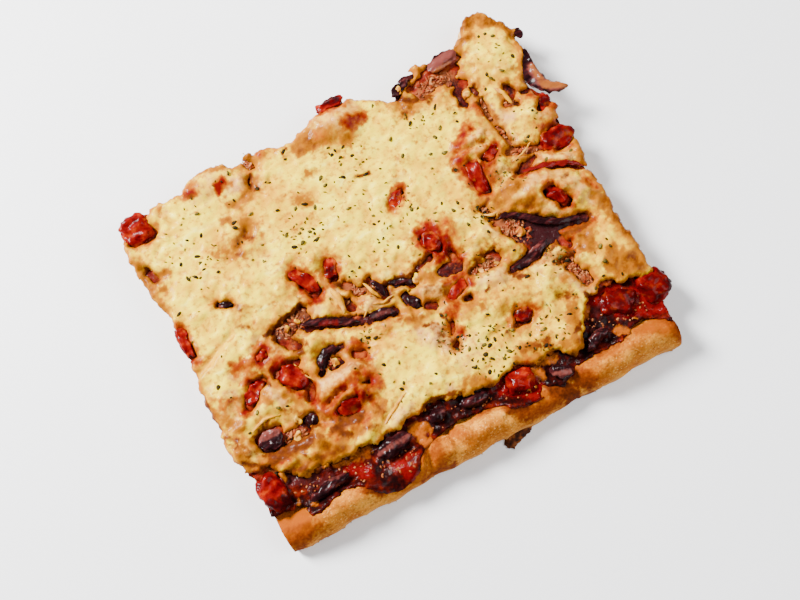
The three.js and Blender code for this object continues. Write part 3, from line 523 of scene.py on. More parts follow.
TOAST = [
    (100, -4, 103, -16, 3.6, 0.9), (58, 14, 72, 18, 3.4, 0.9), (-8, 80, 4, 79, 3.6, 1),
    (-32, 87, -22, 89, 2.6, 1), (-94, -14, -91, -20, 3.4, 0.7), (84, -17, 85, -25, 3, 0.9),
    (10, 1, 16, -2, 3.2, 0.8), (-42, -41, -33, -41, 3.6, 1), (90, -40, 100, -42, 4, 1),
    (-20, 58, -17, 56, 3, 0.7), (-88, -39, -64, -39.4, 3, 1), (-80, -47, -56, -49, 3, 1),
    (-56, -36, -52, -44, 2.4, 0.9), (100, -12, 103, -30, 3, 1), (88, -36, 98, -38, 4, 1),
    (-48, -46, -40, -46, 2, 0.8), (78, -14, 86, -14, 3, 1), (-97, -14, -98, -4, 2, 0.8),
    (64, -41, 60, -50, 3, 0.8), (44, 78, 46, 72, 3, 1), (-94, -24, -96, -34, 2.6, 0.8),
    (34, -50, 46, -52, 2.6, 0.7), (102, 2, 104, 12, 2.4, 0.9), (64, 8, 74, 3, 2.4, 0.9),
    (98, 60, 100, 66, 2, 0.7), (-48, 59, -47, 54, 2.6, 1), (-50, 56, -55, 53, 3, 0.9),
    (-57, 50, -54, 48.6, 1.8, 0.9), (-63, 55, -60, 52, 3, 0.7), (-46, 62, -44, 58, 3, 0.7),
    (-91, 57, -87, 58, 2.4, 0.9), (-93, 56, -92, 51, 2, 0.8), (-97, 67, -98, 65, 2.2, 0.8),
    (-97, 60, -98, 51, 2.2, 1), (-96.5, 47, -95.5, 43, 1.6, 0.9), (-19, 59, -16, 58, 2.5, 0.5),
    (-10, 69, -10, 67, 1.8, 0.7), (-1, 82, 3, 79, 4, 1), (12.6, 74, 14, 72, 2.5, 0.9),
    (-36, 74, -41, 71, 3, 0.9), (-34, 73, -33, 76, 2, 0.9), (-48, 72, -45, 69, 2.2, 0.7),
    (-54, 66, -52, 65.6, 2.2, 0.8), (-77, 84.6, -75, 85.6, 1.4, 0.8), (-63, 87, -60, 86, 2.6, 0.9),
    (-40, 88, -46, 91, 2, 0.8), (-50, 92, -56, 92.4, 1.6, 0.9), (-27, 88, -24, 87, 2, 0.9),
    (87, 96, 92, 97, 4, 1), (97, 94, 103, 90, 4, 1), (104.6, 85, 107, 76, 2.8, 1), (81, 90, 86, 89, 3, 1),
    (78, 88, 79, 84, 3, 0.9), (107, 72, 103, 66, 3, 0.9), (104.6, 14, 105.6, 20, 3, 0.9),
    (97, 11, 102, 12, 3.4, 0.7), (102.6, -20, 103.6, -40, 3, 1), (92, -32, 93, -35, 4, 0.9),
    (84, -18, 88, -16, 4, 0.9), (79, -19, 80, -24, 3, 0.9), (94, -41, 100, -40, 4, 0.8),
    (54, -63, 58, -61, 4, 1), (51, -57, 54, -56, 3, 0.7), (10, -52, 14, -57, 3, 1),
    (4, -51, 8, -52, 3, 0.6), (-62, -44, -60, -46, 3, 1), (-64, -50, -72, -48, 3, 0.9),
    (-33, -42, -32, -40, 2, 0.8), (-98, -36, -92, -40, 3, 1), (-66, -16, -63, -21, 2.6, 0.9),
    (-76, -12, -74, -15, 2, 0.9), (29, 53, 31, 51, 1.8, 0.6), (30, -55, 38, -58, 3, 0.9),
    (-14, -10, -13, -14, 2, 0.7), (-3, -13, -1, -15, 2.4, 0.9), (24, -22, 28, -24, 2.2, 0.8),
    (72, 8, 70, 2, 2.4, 1), (66, -31, 67, -32, 1.6, 0.8), (-7, 84, -4, 85, 2, 0.7),
    (-98, 88, -96, 88, 3, 1), (50, 16, 56, 17, 3, 0.8),
]
RED = [
    (-55, -42, -44, -41, 3.2, 0.75), (-58, -34, -48, -31, 3, 0.7), (74, -13, 90, -14, 3.2, 0.9),
    (-48, -35, -42, -42, 3.4, 0.8), (-80, 4, -75, 4, 3.6, 0.72), (-69, 3, -66, 5, 4, 1),
    (-85, -14, -80, -11, 3, 0.9), (-78, -4, -72, -5, 3, 0.9), (-63, -5, -58, -18, 5.5, 1),
    (-92, -7, -89, -8, 1.8, 0.7), (-55, -18, -57, -26, 2.6, 1), (-29, -13, -28, -19, 3.4, 0.9),
    (-33, -11, -31, -13, 1.8, 0.8), (-54, -29, -36, -25, 3.2, 0.8), (-33, -26, -30, -30, 4.4, 0.8),
    (-50, -36, -38, -33, 4.5, 1), (-38, -30, -34, -38, 2.6, 0.7), (-60, -30, -56, -33, 2.6, 0.6),
    (23, 15, 25, 8, 6.4, 1.2), (30, 8, 33, 16, 3, 0.55), (28, 4, 30, 0, 3.4, 1), (20, -8, 29, -8, 2.4, 0.9),
    (18, -14, 28, -11, 3, 0.95), (14, -21, 19, -18, 2.6, 0.8), (11, -25, 14, -30, 2.6, 0.8),
    (17, 36, 22, 40, 2.8, 1), (53, 38, 56, 22, 4.2, 1), (55, 44, 64, 50, 2.4, 1), (63, 32, 70, 36, 3.6, 1),
    (58, 41, 68, 41.6, 1.2, 0.7), (61, 30, 61, 24, 3, 0.8), (-37, 29, -34, 16, 4.2, 1),
    (-21.4, 25, -24, 18, 3.4, 1), (-31, 24, -27, 22, 2.2, 0.6), (41.6, -36, 44.6, -36.6, 4, 1),
    (37, -38, 42, -39.4, 2.6, 0.8), (17, 78.4, 23, 79, 3.2, 1), (9, 91.6, 21, 90.6, 3, 1),
    (2, 80, 4, 78.8, 2, 0.7), (-62.6, 85, -60, 85.4, 2.6, 1), (-49, 80.6, -46, 82, 2, 1.3),
    (-95, 32, -95, 17, 3.2, 1), (-88, 76, -94, 76, 2, 0.8), (81, 7, 86, -2, 3.6, 0.9),
    (88, 17, 103, 8, 1.6, 0.9), (74, 19.4, 88, 17.6, 1.6, 1), (94, 34, 106, 33, 2, 0.9),
    (92, 24, 100, 21.6, 2, 0.8), (103, 44, 105, 40, 2.6, 0.8), (98, 3, 101, -2, 2, 0.7),
    (97, 52, 103, 42, 1.6, 0.9), (78, -14, 76, -22, 2.4, 0.9), (84, -12, 90, -13, 1.6, 0.6),
    (-97, -42, -90, -42, 3, 1), (-86, -40, -80, -41, 2, 0.9), (-25, 88, -24, 87, 1.4, 0.9),
    (68, 62, 74, 57, 2.4, 0.7), (73, 56, 76, 52, 1.6, 0.7), (32, -56, 34, -58, 3, 0.8),
    (-20, -52, -26, -55, 2.6, 0.6), (-6, -10, -10, -9, 1.6, 0.6),
]
# Partly browning and partly painted shade: dark spots in the furrows and along the upper edges of openings.
BROWN_AND_SHADE = [
    (-84, -37.6, -66, -38.6, 3.4, 0.9), (-51, -37.4, -41, -39, 2.2, 0.9), (44, 78, 50, 74, 2.4, 0.9),
    (74, -14, 90, -15, 2, 0.7), (4, -21, 7, -34, 4, 0.45), (66, -18, 72, -28, 5, 0.45),
    (60, -36, 66, -40, 3, 0.5), (32, -6, 46, -2, 4, 0.45), (10, -6, 18, -10, 3, 0.4),
    (-6, -12, 2, -15, 2.4, 0.5), (-54, 9, -50, -2, 5, 0.5), (-14, 8, -4, 2, 4, 0.45),
    (62, 24, 74, 25, 4, 0.4), (77, 56, 78, 34, 3.4, 0.45), (-36, -20, -28, -22, 3, 0.4),
    (-60, -28, -56, -34, 2.4, 0.5), (-70, -23, -64, -27, 2.4, 0.5), (-98, -20, -92, -32, 2.4, 0.5),
    (34, -50, 46, -52, 2.4, 0.5), (-86, -39.6, -66, -40.4, 2.2, 0.75), (-82, -46, -74, -48.6, 1.8, 0.8),
    (-66, -48, -56, -49.6, 1.6, 0.7), (-54, -36, -53, -44, 1.6, 0.8), (-72, -43, -70, -47, 1.1, 0.7),
    (-60, -42, -62, -38, 1.2, 0.6), (-44, -46, -38, -48, 1.2, 0.6), (76, -9, 92, -12, 2.4, 1),
    (38, -53, 46, -51, 1.6, 0.8), (-75, 34, -68, 30, 1.5, 1), (-67, 29, -66, 26, 1.6, 0.7),
    (-71, 20, -66, 17, 1.8, 0.55), (-34, -40, -33, -44, 1.3, 0.8), (-94, -24, -96, -26, 1.5, 0.9),
    (-99, 0, -99, -16, 1.2, 1), (-97, -33, -89, -40, 1.4, 0.9), (-62, 11, -42, 16, 1.6, 1),
    (-41, 16, -42, 20, 1.2, 0.7), (42.4, 74, 42, 66, 1.2, 0.7), (8, 55.4, 14, 54, 1.3, 0.9),
    (-16, 82, -13.6, 83, 1.3, 0.9), (-33, 80, -36, 75, 1.3, 1), (-35, 72.6, -33, 72.6, 1.5, 0.9),
    (78, 44, 78, 33, 1.3, 0.8), (70, 64, 67, 62, 2, 1), (76, 63, 77, 68, 1.7, 1),
    (74, 60, 76, 57, 1.5, 0.9), (48, 36.4, 50, 35, 1.5, 0.9), (50, 14, 55, 17, 1.6, 0.8),
    (40, -4, 46, -7, 2, 1), (31, -9, 36, -7, 1.8, 1), (33, -19.4, 34.4, -18.4, 1.5, 1),
    (24, -18, 26, -18.4, 2.2, 1), (7, -12, 10, -14, 2.4, 0.9), (1.4, -19.8, 4, -19.8, 1.3, 1),
    (10.4, -19, 12, -23.6, 1.2, 1), (7, -27, 10, -33, 2.2, 0.6), (9, -36, 12, -34, 1.6, 0.7),
    (66, -23, 75, -25, 1.8, 0.9), (74, -20, 76, -22, 2, 0.9), (48, -20, 54, -23, 1.5, 0.9),
    (62, -38.6, 67, -41, 1.3, 0.8), (71, -42, 73, -44, 1.6, 1), (32, -40, 40, -38, 1.5, 0.8),
    (-17, -50.4, -7, -52, 1.8, 0.9), (42, -53, 46, -55, 1.6, 0.9), (58, -55, 62, -52, 1.8, 0.9),
    (-56, -40, -50, -46, 2.2, 0.8), (-49, 56, -47, 53, 1.4, 0.9), (-56, 49.4, -54, 48.6, 1.3, 0.7),
    (-54, -40, -43, -41, 2.8, 0.9), (66, -17, 75, -15, 3, 0.6), (90, 60.6, 93, 56, 1.8, 0.9),
    (86, 52, 91, 50, 2, 0.9), (95, 54, 100, 53.4, 1.4, 1), (92, 27, 88, 28.6, 1.4, 1),
    (70, 20, 84, 24.6, 2, 0.9), (68, 8, 73, -1, 1.2, 0.7), (-24, 17, -18, 11, 2, 0.9),
    (-12, 10, -6, 0, 2.8, 0.9), (-6, 5.4, 4, 4.6, 2, 1), (4, 3.6, 12, 4.4, 1.5, 1),
    (12, 6.4, 19, 7.4, 1.4, 0.9), (-20, -5, -6, -9, 2.2, 0.9), (-47, 9, -20, -4, 3.4, 0.7),
    (-58, 8, -52, -2, 3.6, 0.8), (-49, -16, -34, -9, 2.2, 0.8), (57, 7, 78, -8, 3.2, 0.8),
    (76, -9, 91, -11, 2.6, 1), (47, -18, 64, -18, 1.8, 0.9), (-87, -26, -78, -22.6, 1.4, 0.8),
    (-87, -35, -60, -35, 1.8, 0.9), (52, 81, 56, 72, 3, 0.8), (-95, 64, -93, 57, 2, 0.9),
    (-63, 84, -61, 83, 1.2, 0.8), (88, 8.6, 92, 8.2, 0.9, 0.7), (-72, -4, -71, -9, 1.6, 0.9),
    (-13, -49, 2, -53, 1.6, 0.8),
]
BROWN_WIDTH, BROWN_SHARE = 0.7, 0.8
print("spots on the cheese:", sum(map(len, (YELLOW, TAN, PINK, TOAST, RED, BROWN_AND_SHADE))))


# %% Rules for the cheese's paints
def cheese_stain(spots, blur, size, seed):
    """A stain that is blotchy inside."""
    ragged = stain(spots, blur, 1.1, size, seed)
    return lambda p: ragged(p) * (0.85 + 0.35 * uneven(p[:, :2], 4, seed + 7, 3))


def cheese_halo(gaps, reach, seed):
    """The stain that spreads round openings, broken up by noise."""
    def rule(p):
        blotches = 0.72 + 0.4 * uneven(p[:, :2], 4, seed + 1, 3)
        return nearness(wandered(p[:, :2], 1.5, 5, seed), gaps, reach) * blotches
    return rule


def cheese_hollow_shade(p):
    """Painted shade in the dips between lumps and in the furrows, where the cheese lies lowest."""
    furrows = np.max([line[5] * soft(depth_in(p[:, :2], line), 3) for line in CREASES], axis=0)
    return 0.55 - 1.1 * uneven(p[:, :2], 8, 4, 2) + 0.7 * furrows


def cheese_rim_toast_and_shade(p):
    """The sheet's outer few millimetres: toasted first, and painted shade on their rounded slope."""
    return (1 - soft(cheese_depth(p[:, :2]) - 1.9, 4.4)) * (0.85 + 0.3 * uneven(p[:, :2], 6, 59))


def browned_and_shaded(p):
    """Brown spots, partly browning and partly painted shade, drawn narrower and paler than they are listed,
    which suits the furrows they follow.
    """
    narrow = [(*spot[:4], BROWN_WIDTH * spot[4], spot[5]) for spot in BROWN_AND_SHADE]
    return BROWN_SHARE * stain(narrow, 2, 0.7, 3, 51)(p)


cheese_paints = {
    # the hollow paint is painted shade in the dips between lumps and in the furrows
    "hollow": cheese_hollow_shade,
    "fat": cheese_halo(GAPS, 8, 53),
    "juice": cheese_halo(RED_GAPS, 3.2, 55),
    "broth": cheese_halo(BROWN_GAPS, 3, 57),
    "yellow": cheese_stain(YELLOW, 9, 6, 41),
    "tan": cheese_stain(TAN, 8, 5, 43),
    "pink": cheese_stain(PINK, 6, 5, 45),
    "toast": cheese_stain(TOAST, 5, 4, 47),
    "red": cheese_stain(RED, 5.5, 4, 49),
    # the brown paint is partly browning and partly painted shade in furrows and along openings
    "brown": browned_and_shaded,
    # the rim paint is toasting, with painted shade on the edge's rounded slope
    "rim": cheese_rim_toast_and_shade,
}
print("cheese paints:", ", ".join(cheese_paints))


# %% [markdown]
# Melted cheese is waxy and lets some light in, so it looks soft. Its own fat makes it shine in patches.
# Subsurface scattering gives the softness, and the roughness follows the same grain as the stains.

# %% Cheese material
def melted_cheese():
    """Mild grated cheese melted in the oven: creamy yellow and waxy, a little see-through, shiny with fat."""
    material, tree, shader, where = new_material(
        "melted_cheese", Specular_IOR_Level=0.03, Subsurface_Weight=0.1, Subsurface_Radius=(1, 0.5, 0.2),
        Subsurface_Scale=1 * MM, Coat_Weight=0.045, Coat_Roughness=0.1,
    )
    grain = speckle(tree, where, 2.2, 5)
    shreds_lie = {"Vector": where, "Rotation": (0, 0, -0.9), "Scale": (1, 2.2, 1)}
    along_shreds = add(tree, "Mapping", shreds_lie).outputs[0]
    cream = add(tree, "ValToRGB", {"Fac": speckle(tree, along_shreds, 9)},
                stops=[(0.3, "#FAE258"), (0.42, "#F2D41A"), (0.55, "#E8C402"), (0.68, "#DAAC00")])
    paints = [
        # the hollow layer is painted shade in the dips
        ("hollow", "#DAA800", 0.55, 1.4), ("yellow", "#D29400", 0.1, 0.8), ("fat", "#BC7A00", 0.35, 1.4),
        ("pink", "#CE9654", 0.2, 0.95), ("tan", "#A46806", 0.15, 1), ("juice", "#984804", 0.35, 1.1),
        # the rim layer is toasting, with painted shade on the edge's rounded slope
        ("broth", "#8A4406", 0.4, 1.15), ("rim", "#A05802", 0.12, 0.8), ("toast", "#A06000", 0.04, 0.5),
        ("toast", "#743C00", 0.36, 0.9), ("toast", "#4E1E04", 0.85, 1.25), ("red", "#A86200", 0.02, 0.35),
        # the two brown layers are partly browning and partly painted shade
        ("red", "#883800", 0.2, 0.6), ("red", "#640804", 0.52, 0.95), ("brown", "#683008", 0.12, 0.55),
        ("brown", "#361006", 0.45, 1),
    ]
    tree.links.new(lay_paints(tree, cream.outputs["Color"], grain, paints), shader.inputs["Base Color"])
    patchy_shine(tree, shader, grain, 0.3, 0.6)
    relief(tree, shader, speckle(tree, along_shreds, 2.4, 3), 0.4, 0.3)
    return material


# %% Make the cheese
CHEESE_STEP = 0.82
cheese_material = melted_cheese()
cheese = trimmed_grid(cheese_depth, np.arange(-104, 112, CHEESE_STEP), np.arange(-68, 102, CHEESE_STEP))
thicken(cheese, cheese_top, lambda p: np.full(len(p), SHEET_UNDER))
finish(cheese, "cheese_sheet", cheese_material, ["cheese"], cheese_paints)

# %% [markdown]
# ## Bread and crust
# The bread is a thin white crumb under the toppings, and along one side it rose free of them into a round,
# golden crust. The crust is a half-round swept along that side: the grid's first rows follow its profile,
# and the others are level. The cut sides are drawn down from the grid's border in steps, and each step is
# pitted, as the knife opens the bubbles of the crumb.

# %% Shape of the crust, in mm
FRONT, RIM_WIDTH, RIM_CREST, RIM_FOOT, BREAD_TOP = -80, 19, 15.5, 2.4, 8
CREST_HUMPS = [  # x, half-width, rise
    (-66, 17, 1.2), (-43, 14, -3.2), (-17, 11, 1), (5, 15, 2), (30, 14, -2.6), (46, 10, -3), (78, 26, 2.6),
    (-98, 16, -3.6),
]
FOLDS = [  # x, y, half-lengths, turn in degrees, rise
    (-5, -70, 11, 2.6, -63, 2.4), (-11.5, -70, 10, 3, -70, -2.2), (-25, -71, 10, 3.4, 62, -2.2),
    (-28, -72, 9, 2.4, 60, 1.2), (-20, -66, 8, 3, -40, 1), (14, -73, 10, 3, -20, -0.8),
    (-64, -71, 12, 4, 5, 0.6), (66, -69, 14, 3, 4, -0.8),
]


def front_edge(x):
    """Where the crust's foot lies."""
    return FRONT - 0.02 * x + 0.5 * np.sin(0.17 * x) + 0.3 * np.sin(0.43 * x)


def crest(x):
    """The crust's height."""
    humps = sum(rise * np.maximum(0, 1 - ((x - at) / half) ** 2) ** 1.5 for at, half, rise in CREST_HUMPS)
    return RIM_CREST + humps


def bread_top(points):
    """The bread's upper side at any point, without its fine relief."""
    x, y = points.T
    half = RIM_WIDTH / 2
    s = np.clip(y - front_edge(x), 0, RIM_WIDTH)
    t = np.abs(s - half) / half
    outer = RIM_FOOT + (crest(x) - RIM_FOOT) * np.sqrt(np.maximum(0, 1 - t * t))
    inner = BREAD_TOP + (crest(x) - BREAD_TOP) * (0.5 + 0.5 * np.cos(math.pi * t))
    return np.where(s < half, outer, inner) + mounds(points, FOLDS) * np.clip(s / 3, 0, 1)


# %% Grid and cut sides of the bread
RIM_ROWS, FLAT_ROWS, COLUMNS, WALL_STEPS = 36, 42, 250, 8
BREAD_LEFT, BREAD_WIDE, BREAD_RIGHT, BREAD_INSET = -98, 200, 104.5, 1.8


def bread_grid():
    """A grid whose front rows climb over the crust and whose sides follow the cut edges."""
    bm = bmesh.new()
    rows = RIM_ROWS + FLAT_ROWS
    bmesh.ops.create_grid(bm, x_segments=COLUMNS, y_segments=rows, size=0.5)
    u, v = (plan(bm.verts) + 0.5).T
    row = v * rows
    turn = np.clip(row / RIM_ROWS, 0, 1)
    x = BREAD_LEFT + BREAD_WIDE * u
    rim_back = front_edge(x) + RIM_WIDTH
    share = np.clip((row - RIM_ROWS) / FLAT_ROWS, 0, 1)
    level = rim_back + (read_edge(BACK_EDGE, x) - 2.5 - rim_back) * share
    y = np.where(row <= RIM_ROWS, front_edge(x) + 0.5 * RIM_WIDTH * (1 - np.cos(math.pi * turn)), level)
    left = read_edge(LEFT_EDGE, y) + BREAD_INSET
    right = np.minimum(read_edge(RIGHT_EDGE, y), BREAD_RIGHT) - BREAD_INSET
    x = left + (right - left) * u
    points = np.stack([x, y], axis=1)
    rim = soft(RIM_WIDTH - (y - front_edge(x)), 4)
    z = bread_top(points) + rim * (0.4 * uneven(points, 7, 11) + 0.16 * uneven(points, 2.2, 12, 3))
    for vert, co in zip(bm.verts, np.stack([x, y, z], axis=1)):
        vert.co = co
    return bm


def draw_down(bm, steps):
    """Closes the bread: its border goes down to the board in pitted steps, and a flat underside shuts it."""
    edges = [edge for edge in bm.edges if edge.is_boundary]
    for step in range(steps, 0, -1):
        made = bmesh.ops.extrude_edge_only(bm, edges=edges)["geom"]
        verts = [item for item in made if isinstance(item, bmesh.types.BMVert)]
        edges = [item for item in made if isinstance(item, bmesh.types.BMEdge)]
        for vert in verts:
            vert.co.z *= (step - 1) / step
            if step == 1:
                continue
            bubble = noise.noise((vert.co.x / 2.2, vert.co.y / 2.2, vert.co.z / 1.5))
            outward = Vector((vert.co.x - 2, 1.2 * vert.co.y, 0)).normalized()
            vert.co += outward * (1.1 * bubble - 0.3)
    bmesh.ops.holes_fill(bm, edges=edges, sides=0)


# %% Stains on the crust
OIL = [  # cooking oil, soaked in
    (-95, -60, -90, -68, 9, 1), (-82, -72, -80, -66, 3, 0.8), (-60, -66, -54, -70, 3, 0.6),
    (-20, -66, -24, -76, 5, 0.8), (-30, -74, -33, -77, 3, 0.7), (-10, -66, -5, -75, 2, 0.8),
    (-2, -66, 10, -65, 1.6, 0.9), (20, -72, 36, -74, 5, 0.9), (56, -69, 74, -69, 3, 0.7),
    (84, -67, 98, -74, 4, 0.9), (50, -70, 55, -76, 4, 0.9), (76, -70, 92, -70, 4, 0.5),
    (2, -79, 10, -76, 2, 0.4), (-97, -62, -97, -76, 2, 0.9), (-22, -60, -28, -68, 3, 1),
    (-28, -68, -36, -75, 2.4, 1), (-12, -62, -8, -68, 2, 0.9), (-8, -68, 0, -76, 1.6, 0.8),
    (92, -62, 99, -76, 4, 1), (48, -70, 60, -76, 4, 0.6), (-50, -66, -40, -77, 4, 0.6),
]
BAKED = [  # sauce and sugar, baked to brown
    (50, -71, 54, -76, 3.2, 0.8), (15, -69, 22, -73, 2.6, 0.9), (-22, -70, -18, -75, 3, 0.6),
    (-21, -62, -19, -67, 2.4, 0.6), (-95, -73, -86, -74, 2.4, 0.8), (-96, -77, -90, -77, 1.6, 0.7),
    (-22, -74, -18, -76, 3, 0.6), (-32, -78, -16, -78.4, 1.2, 0.9), (20, -76, 38, -78, 3, 0.7),
    (38, -70, 44, -79, 4.4, 1), (96, -66, 99, -78, 3, 0.6), (-92, -70, -80, -76, 4, 0.5),
    (48, -74, 53, -78, 2.6, 0.9), (44, -81, 55, -82, 1.6, 0.9), (99, -68, 100, -76, 2.4, 1),
    (-57, -68, -51, -74, 2, 0.8), (62, -67.6, 78, -67, 1.4, 0.9), (3, -65.4, 9, -65.8, 1, 0.9),
    (-13, -66, -14, -74, 1, 0.6), (-25, -66, -30, -77, 1.2, 0.6), (14, -68, 17, -70, 1.6, 0.8),
]
FLOUR = [(-66, -78, 2, -79.6, 3, 0.9), (24, -79, 32, -79, 2, 0.6), (-94, -79, -97, -79, 2, 0.8)]


def behind_foot(p):
    """How far behind the crust's foot each point lies, in mm."""
    return p[:, 1] - front_edge(p[:, 0])


def floury(p):
    """Flour from the board that it was rolled on, which reaches only a few millimetres up."""
    return stain(FLOUR, 6, 2, 8, 67)(p) * soft(3.4 + 1.6 * uneven(p[:, :2], 4, 68) - p[:, 2], 2.6)


bread_paints = {
    "oil": stain(OIL, 5, 1, 5, 61),
    "baked": stain(BAKED, 3, 1, 4, 63),
    "flour": floury,
    "foot": lambda p: soft(8 - p[:, 2], 7) * soft(8 - behind_foot(p), 5),
    "rim": lambda p: soft(RIM_WIDTH + 1 - behind_foot(p), 3),
    "low": lambda p: 1 - soft(p[:, 2] - 2, 3),
}
print("spots on the crust:", len(OIL) + len(BAKED) + len(FLOUR))


# %% [markdown]
# Crust is matt and a little rough to the touch, with fine speckles where the flour browned. The crumb
# inside stays pale. The attribute named rim says which of the two a point belongs to.

# %% Make the bread
def baked_bread():
    """White bread baked on an oiled tray: golden brown and matt outside, pale and bubbly where it is cut."""
    material, tree, shader, where = new_material(
        "baked_bread", Specular_IOR_Level=0.03, Roughness=0.7, Subsurface_Weight=0.05, Subsurface_Scale=1 * MM
    )
    clouds, grain = speckle(tree, where, 8, 5), speckle(tree, where, 1.3, 6)
    crumb = add(tree, "ValToRGB", {"Fac": clouds}, stops=[(0.35, "#DDB070"), (0.65, "#C08848")])
    golden = add(tree, "ValToRGB", {"Fac": clouds},
                 stops=[(0.3, "#D08C28"), (0.5, "#B26A12"), (0.7, "#9A5008")])
    on_rim = add(tree, "Attribute", attribute_name="rim").outputs["Fac"]
    base = add(tree, "Mix", {0: on_rim, 6: crumb.outputs["Color"], 7: golden.outputs["Color"]},
               data_type="RGBA")
    freckles = add(tree, "MapRange", {"Value": grain, "From Min": 0.48, "From Max": 0.7, "To Max": 0.6})
    freckled = add(tree, "Mix", {0: freckles.outputs[0], 6: base.outputs[2], 7: linear("#5E2E0C")},
                   data_type="RGBA")
    dust = speckle(tree, where, 0.9, 3)
    specks = add(tree, "MapRange", {"Value": dust, "From Min": 0.56, "From Max": 0.68, "To Max": 0.7})
    dusted = add(tree, "Mix", {0: specks.outputs[0], 6: freckled.outputs[2], 7: linear("#D49A4C")},
                 data_type="RGBA")
    paints = [
        ("foot", "#C0884C", 0.6, 1.3), ("low", "#9A5A20", 0.5, 1.1), ("oil", "#8A4000", 0.12, 0.9),
        ("baked", "#6E2C04", 0.2, 0.8), ("baked", "#341204", 0.75, 1.25), ("flour", "#E0B070", 0.6, 1.1),
    ]
    tree.links.new(lay_paints(tree, dusted.outputs[2], grain, paints), shader.inputs["Base Color"])
    relief(tree, shader, grain, 0.5, 0.45)
    return material


bread = bread_grid()
draw_down(bread, WALL_STEPS)
bread_material = baked_bread()
finish(bread, "bread", bread_material, ["dough"], bread_paints)

# %% [markdown]
# A thin flap of crust stuck out from under the rim and baked nearly black. It lies on the board, and it is
# a trimmed grid of its own, because the crust's grid has no room for it.

# %% Burnt flap at the foot of the crust
FLAP = [(10.5, -82.6, 20, -80.2, 2.7)]


def flap_depth(points):
    """How far inside the flap each point lies."""
    return deepest(wandered(points, 0.7, 3, 65), FLAP)


def flap_top(points):
    """A low, uneven pillow."""
    return 0.5 + 1.1 * np.sqrt(np.clip(flap_depth(points) / 2, 0, 1)) + 0.2 * uneven(points, 2, 66)


flap = trimmed_grid(flap_depth, np.arange(4, 27, 0.5), np.arange(-86, -74, 0.5))
thicken(flap, flap_top, lambda p: 0.1 + 0 * p[:, 0])


def burnt_crust():
    """Bread crust baked until it is nearly black: dry, brittle, matt."""
    material, tree, shader, where = new_material("burnt_crust", Specular_IOR_Level=0.1, Roughness=0.65)
    browns = add(tree, "ValToRGB", {"Fac": speckle(tree, where, 2.5)},
                 stops=[(0.35, "#1C0B05"), (0.5, "#4A210C"), (0.65, "#7E4418")])
    tree.links.new(browns.outputs["Color"], shader.inputs["Base Color"])
    relief(tree, shader, speckle(tree, where, 0.8), 0.4, 0.5)
    return material


finish(flap, "burnt_flap", burnt_crust(), ["dough"])

# %% [markdown]
# ## Sauce
# The sauce is tomato cooked down with onion. Under the tuna it is a thin spread, and only its edge shows.
# Along the crust it lies bare, dark, lumpy and wet, and in two places it ran up over the crust. It is a
# trimmed grid like the cheese, but its height follows the bread below it where that rises.

# %% Sauce: outline and stains
SAUCE_FRONT = [  # x, y
    (-98, -60), (-86, -61), (-83, -62), (-82, -67), (-78, -69), (-70, -66), (-62, -65), (-56, -68),
    (-51, -74), (-47, -76), (-43, -76.5), (-38, -77), (-33, -75), (-30, -71), (-25, -67), (-21, -66),
    (-15, -64.5), (-10, -63), (-2, -63.5), (8, -65), (13, -67), (17, -70), (21, -72), (25, -73.5),
    (31, -73), (34, -68), (37, -70), (42, -73), (48, -71), (51, -68), (56, -67.5), (66, -67.5), (74, -68),
    (80, -67), (83, -64.5), (88, -64), (93, -66), (97, -70), (101, -75),
]
RUBY = [
    (-96, -46, -91, -54, 5, 1), (-88, -47, -84, -46, 2, 0.6), (-58, -58, -51, -63, 3, 0.9),
    (-38, -67, -35, -74, 3, 1), (-33, -66, -29, -67, 2, 0.7), (18, -58, 30, -66, 6, 1),
    (24, -70, 30, -71, 2.6, 0.8), (72, -45, 84, -46, 4, 0.8), (84, -54, 100, -60, 7, 0.9),
    (98, -50, 106, -50, 5, 1),
]
CHAR = [
    (-82, -61, -78, -66, 3.4, 1), (-76, -64, -62, -63, 2.2, 1), (-66, -60, -58, -63, 3, 0.8),
    (-46, -55.4, -26, -55.6, 1.8, 1), (-45, -61.4, -30, -63, 2.2, 1), (-47, -66, -44, -74, 4, 0.9),
    (-19, -53.6, -8, -53, 2, 1), (-16, -60, -6, -61, 3.4, 0.9), (-2, -58, 12, -59, 5, 1),
    (12, -62, 18, -67, 2.4, 1), (20, -66.6, 26, -72.6, 2, 1), (36, -64, 50, -62, 3, 1),
    (37, -66, 44, -72, 3.4, 1), (50, -66, 60, -66.6, 2, 0.9), (60, -62, 74, -58, 5, 1),
    (70, -65, 74, -66, 2, 1), (88, -50, 93, -62, 2, 0.7), (-92, -57, -87, -58, 3, 0.6),
]
AMBER = [
    (-25, -57, -20, -59, 3, 1), (-24, -61, -22, -66, 2.4, 1), (34, -60, 36, -64, 2.4, 1),
    (-78.6, -63.6, -77.6, -63.6, 1.2, 1), (76, -63, 80, -65.4, 2.4, 1), (37, -57, 44, -59, 3, 1),
    (-62, -52, -52, -54, 3, 0.9), (-49, -56, -46, -54, 2.6, 0.7), (66, -50, 68, -48, 2.4, 0.9),
    (-84, -60, -85, -62, 1.6, 0.8),
]
MAUVE = [
    (-84, -49, -72, -51, 4, 0.9), (-76, -56, -66, -58, 2.4, 0.7), (-44, -58.5, -28, -58.2, 1.4, 1),
    (72, -51, 80, -54, 3, 0.7), (-14, -57, -6, -57.4, 1.6, 0.6),
]
sauce_paints = {
    "ruby": stain(RUBY, 3, 1, 3, 71),
    "char": stain(CHAR, 3, 1, 3, 73),
    "amber": stain(AMBER, 2.5, 1, 3, 75),
    "mauve": stain(MAUVE, 2, 1, 3, 77),
}
SAUCE_LEVEL, SAUCE_RIGHT = 10.2, 104
BARE_BAND = -44  # the y in front of which the sauce lies bare
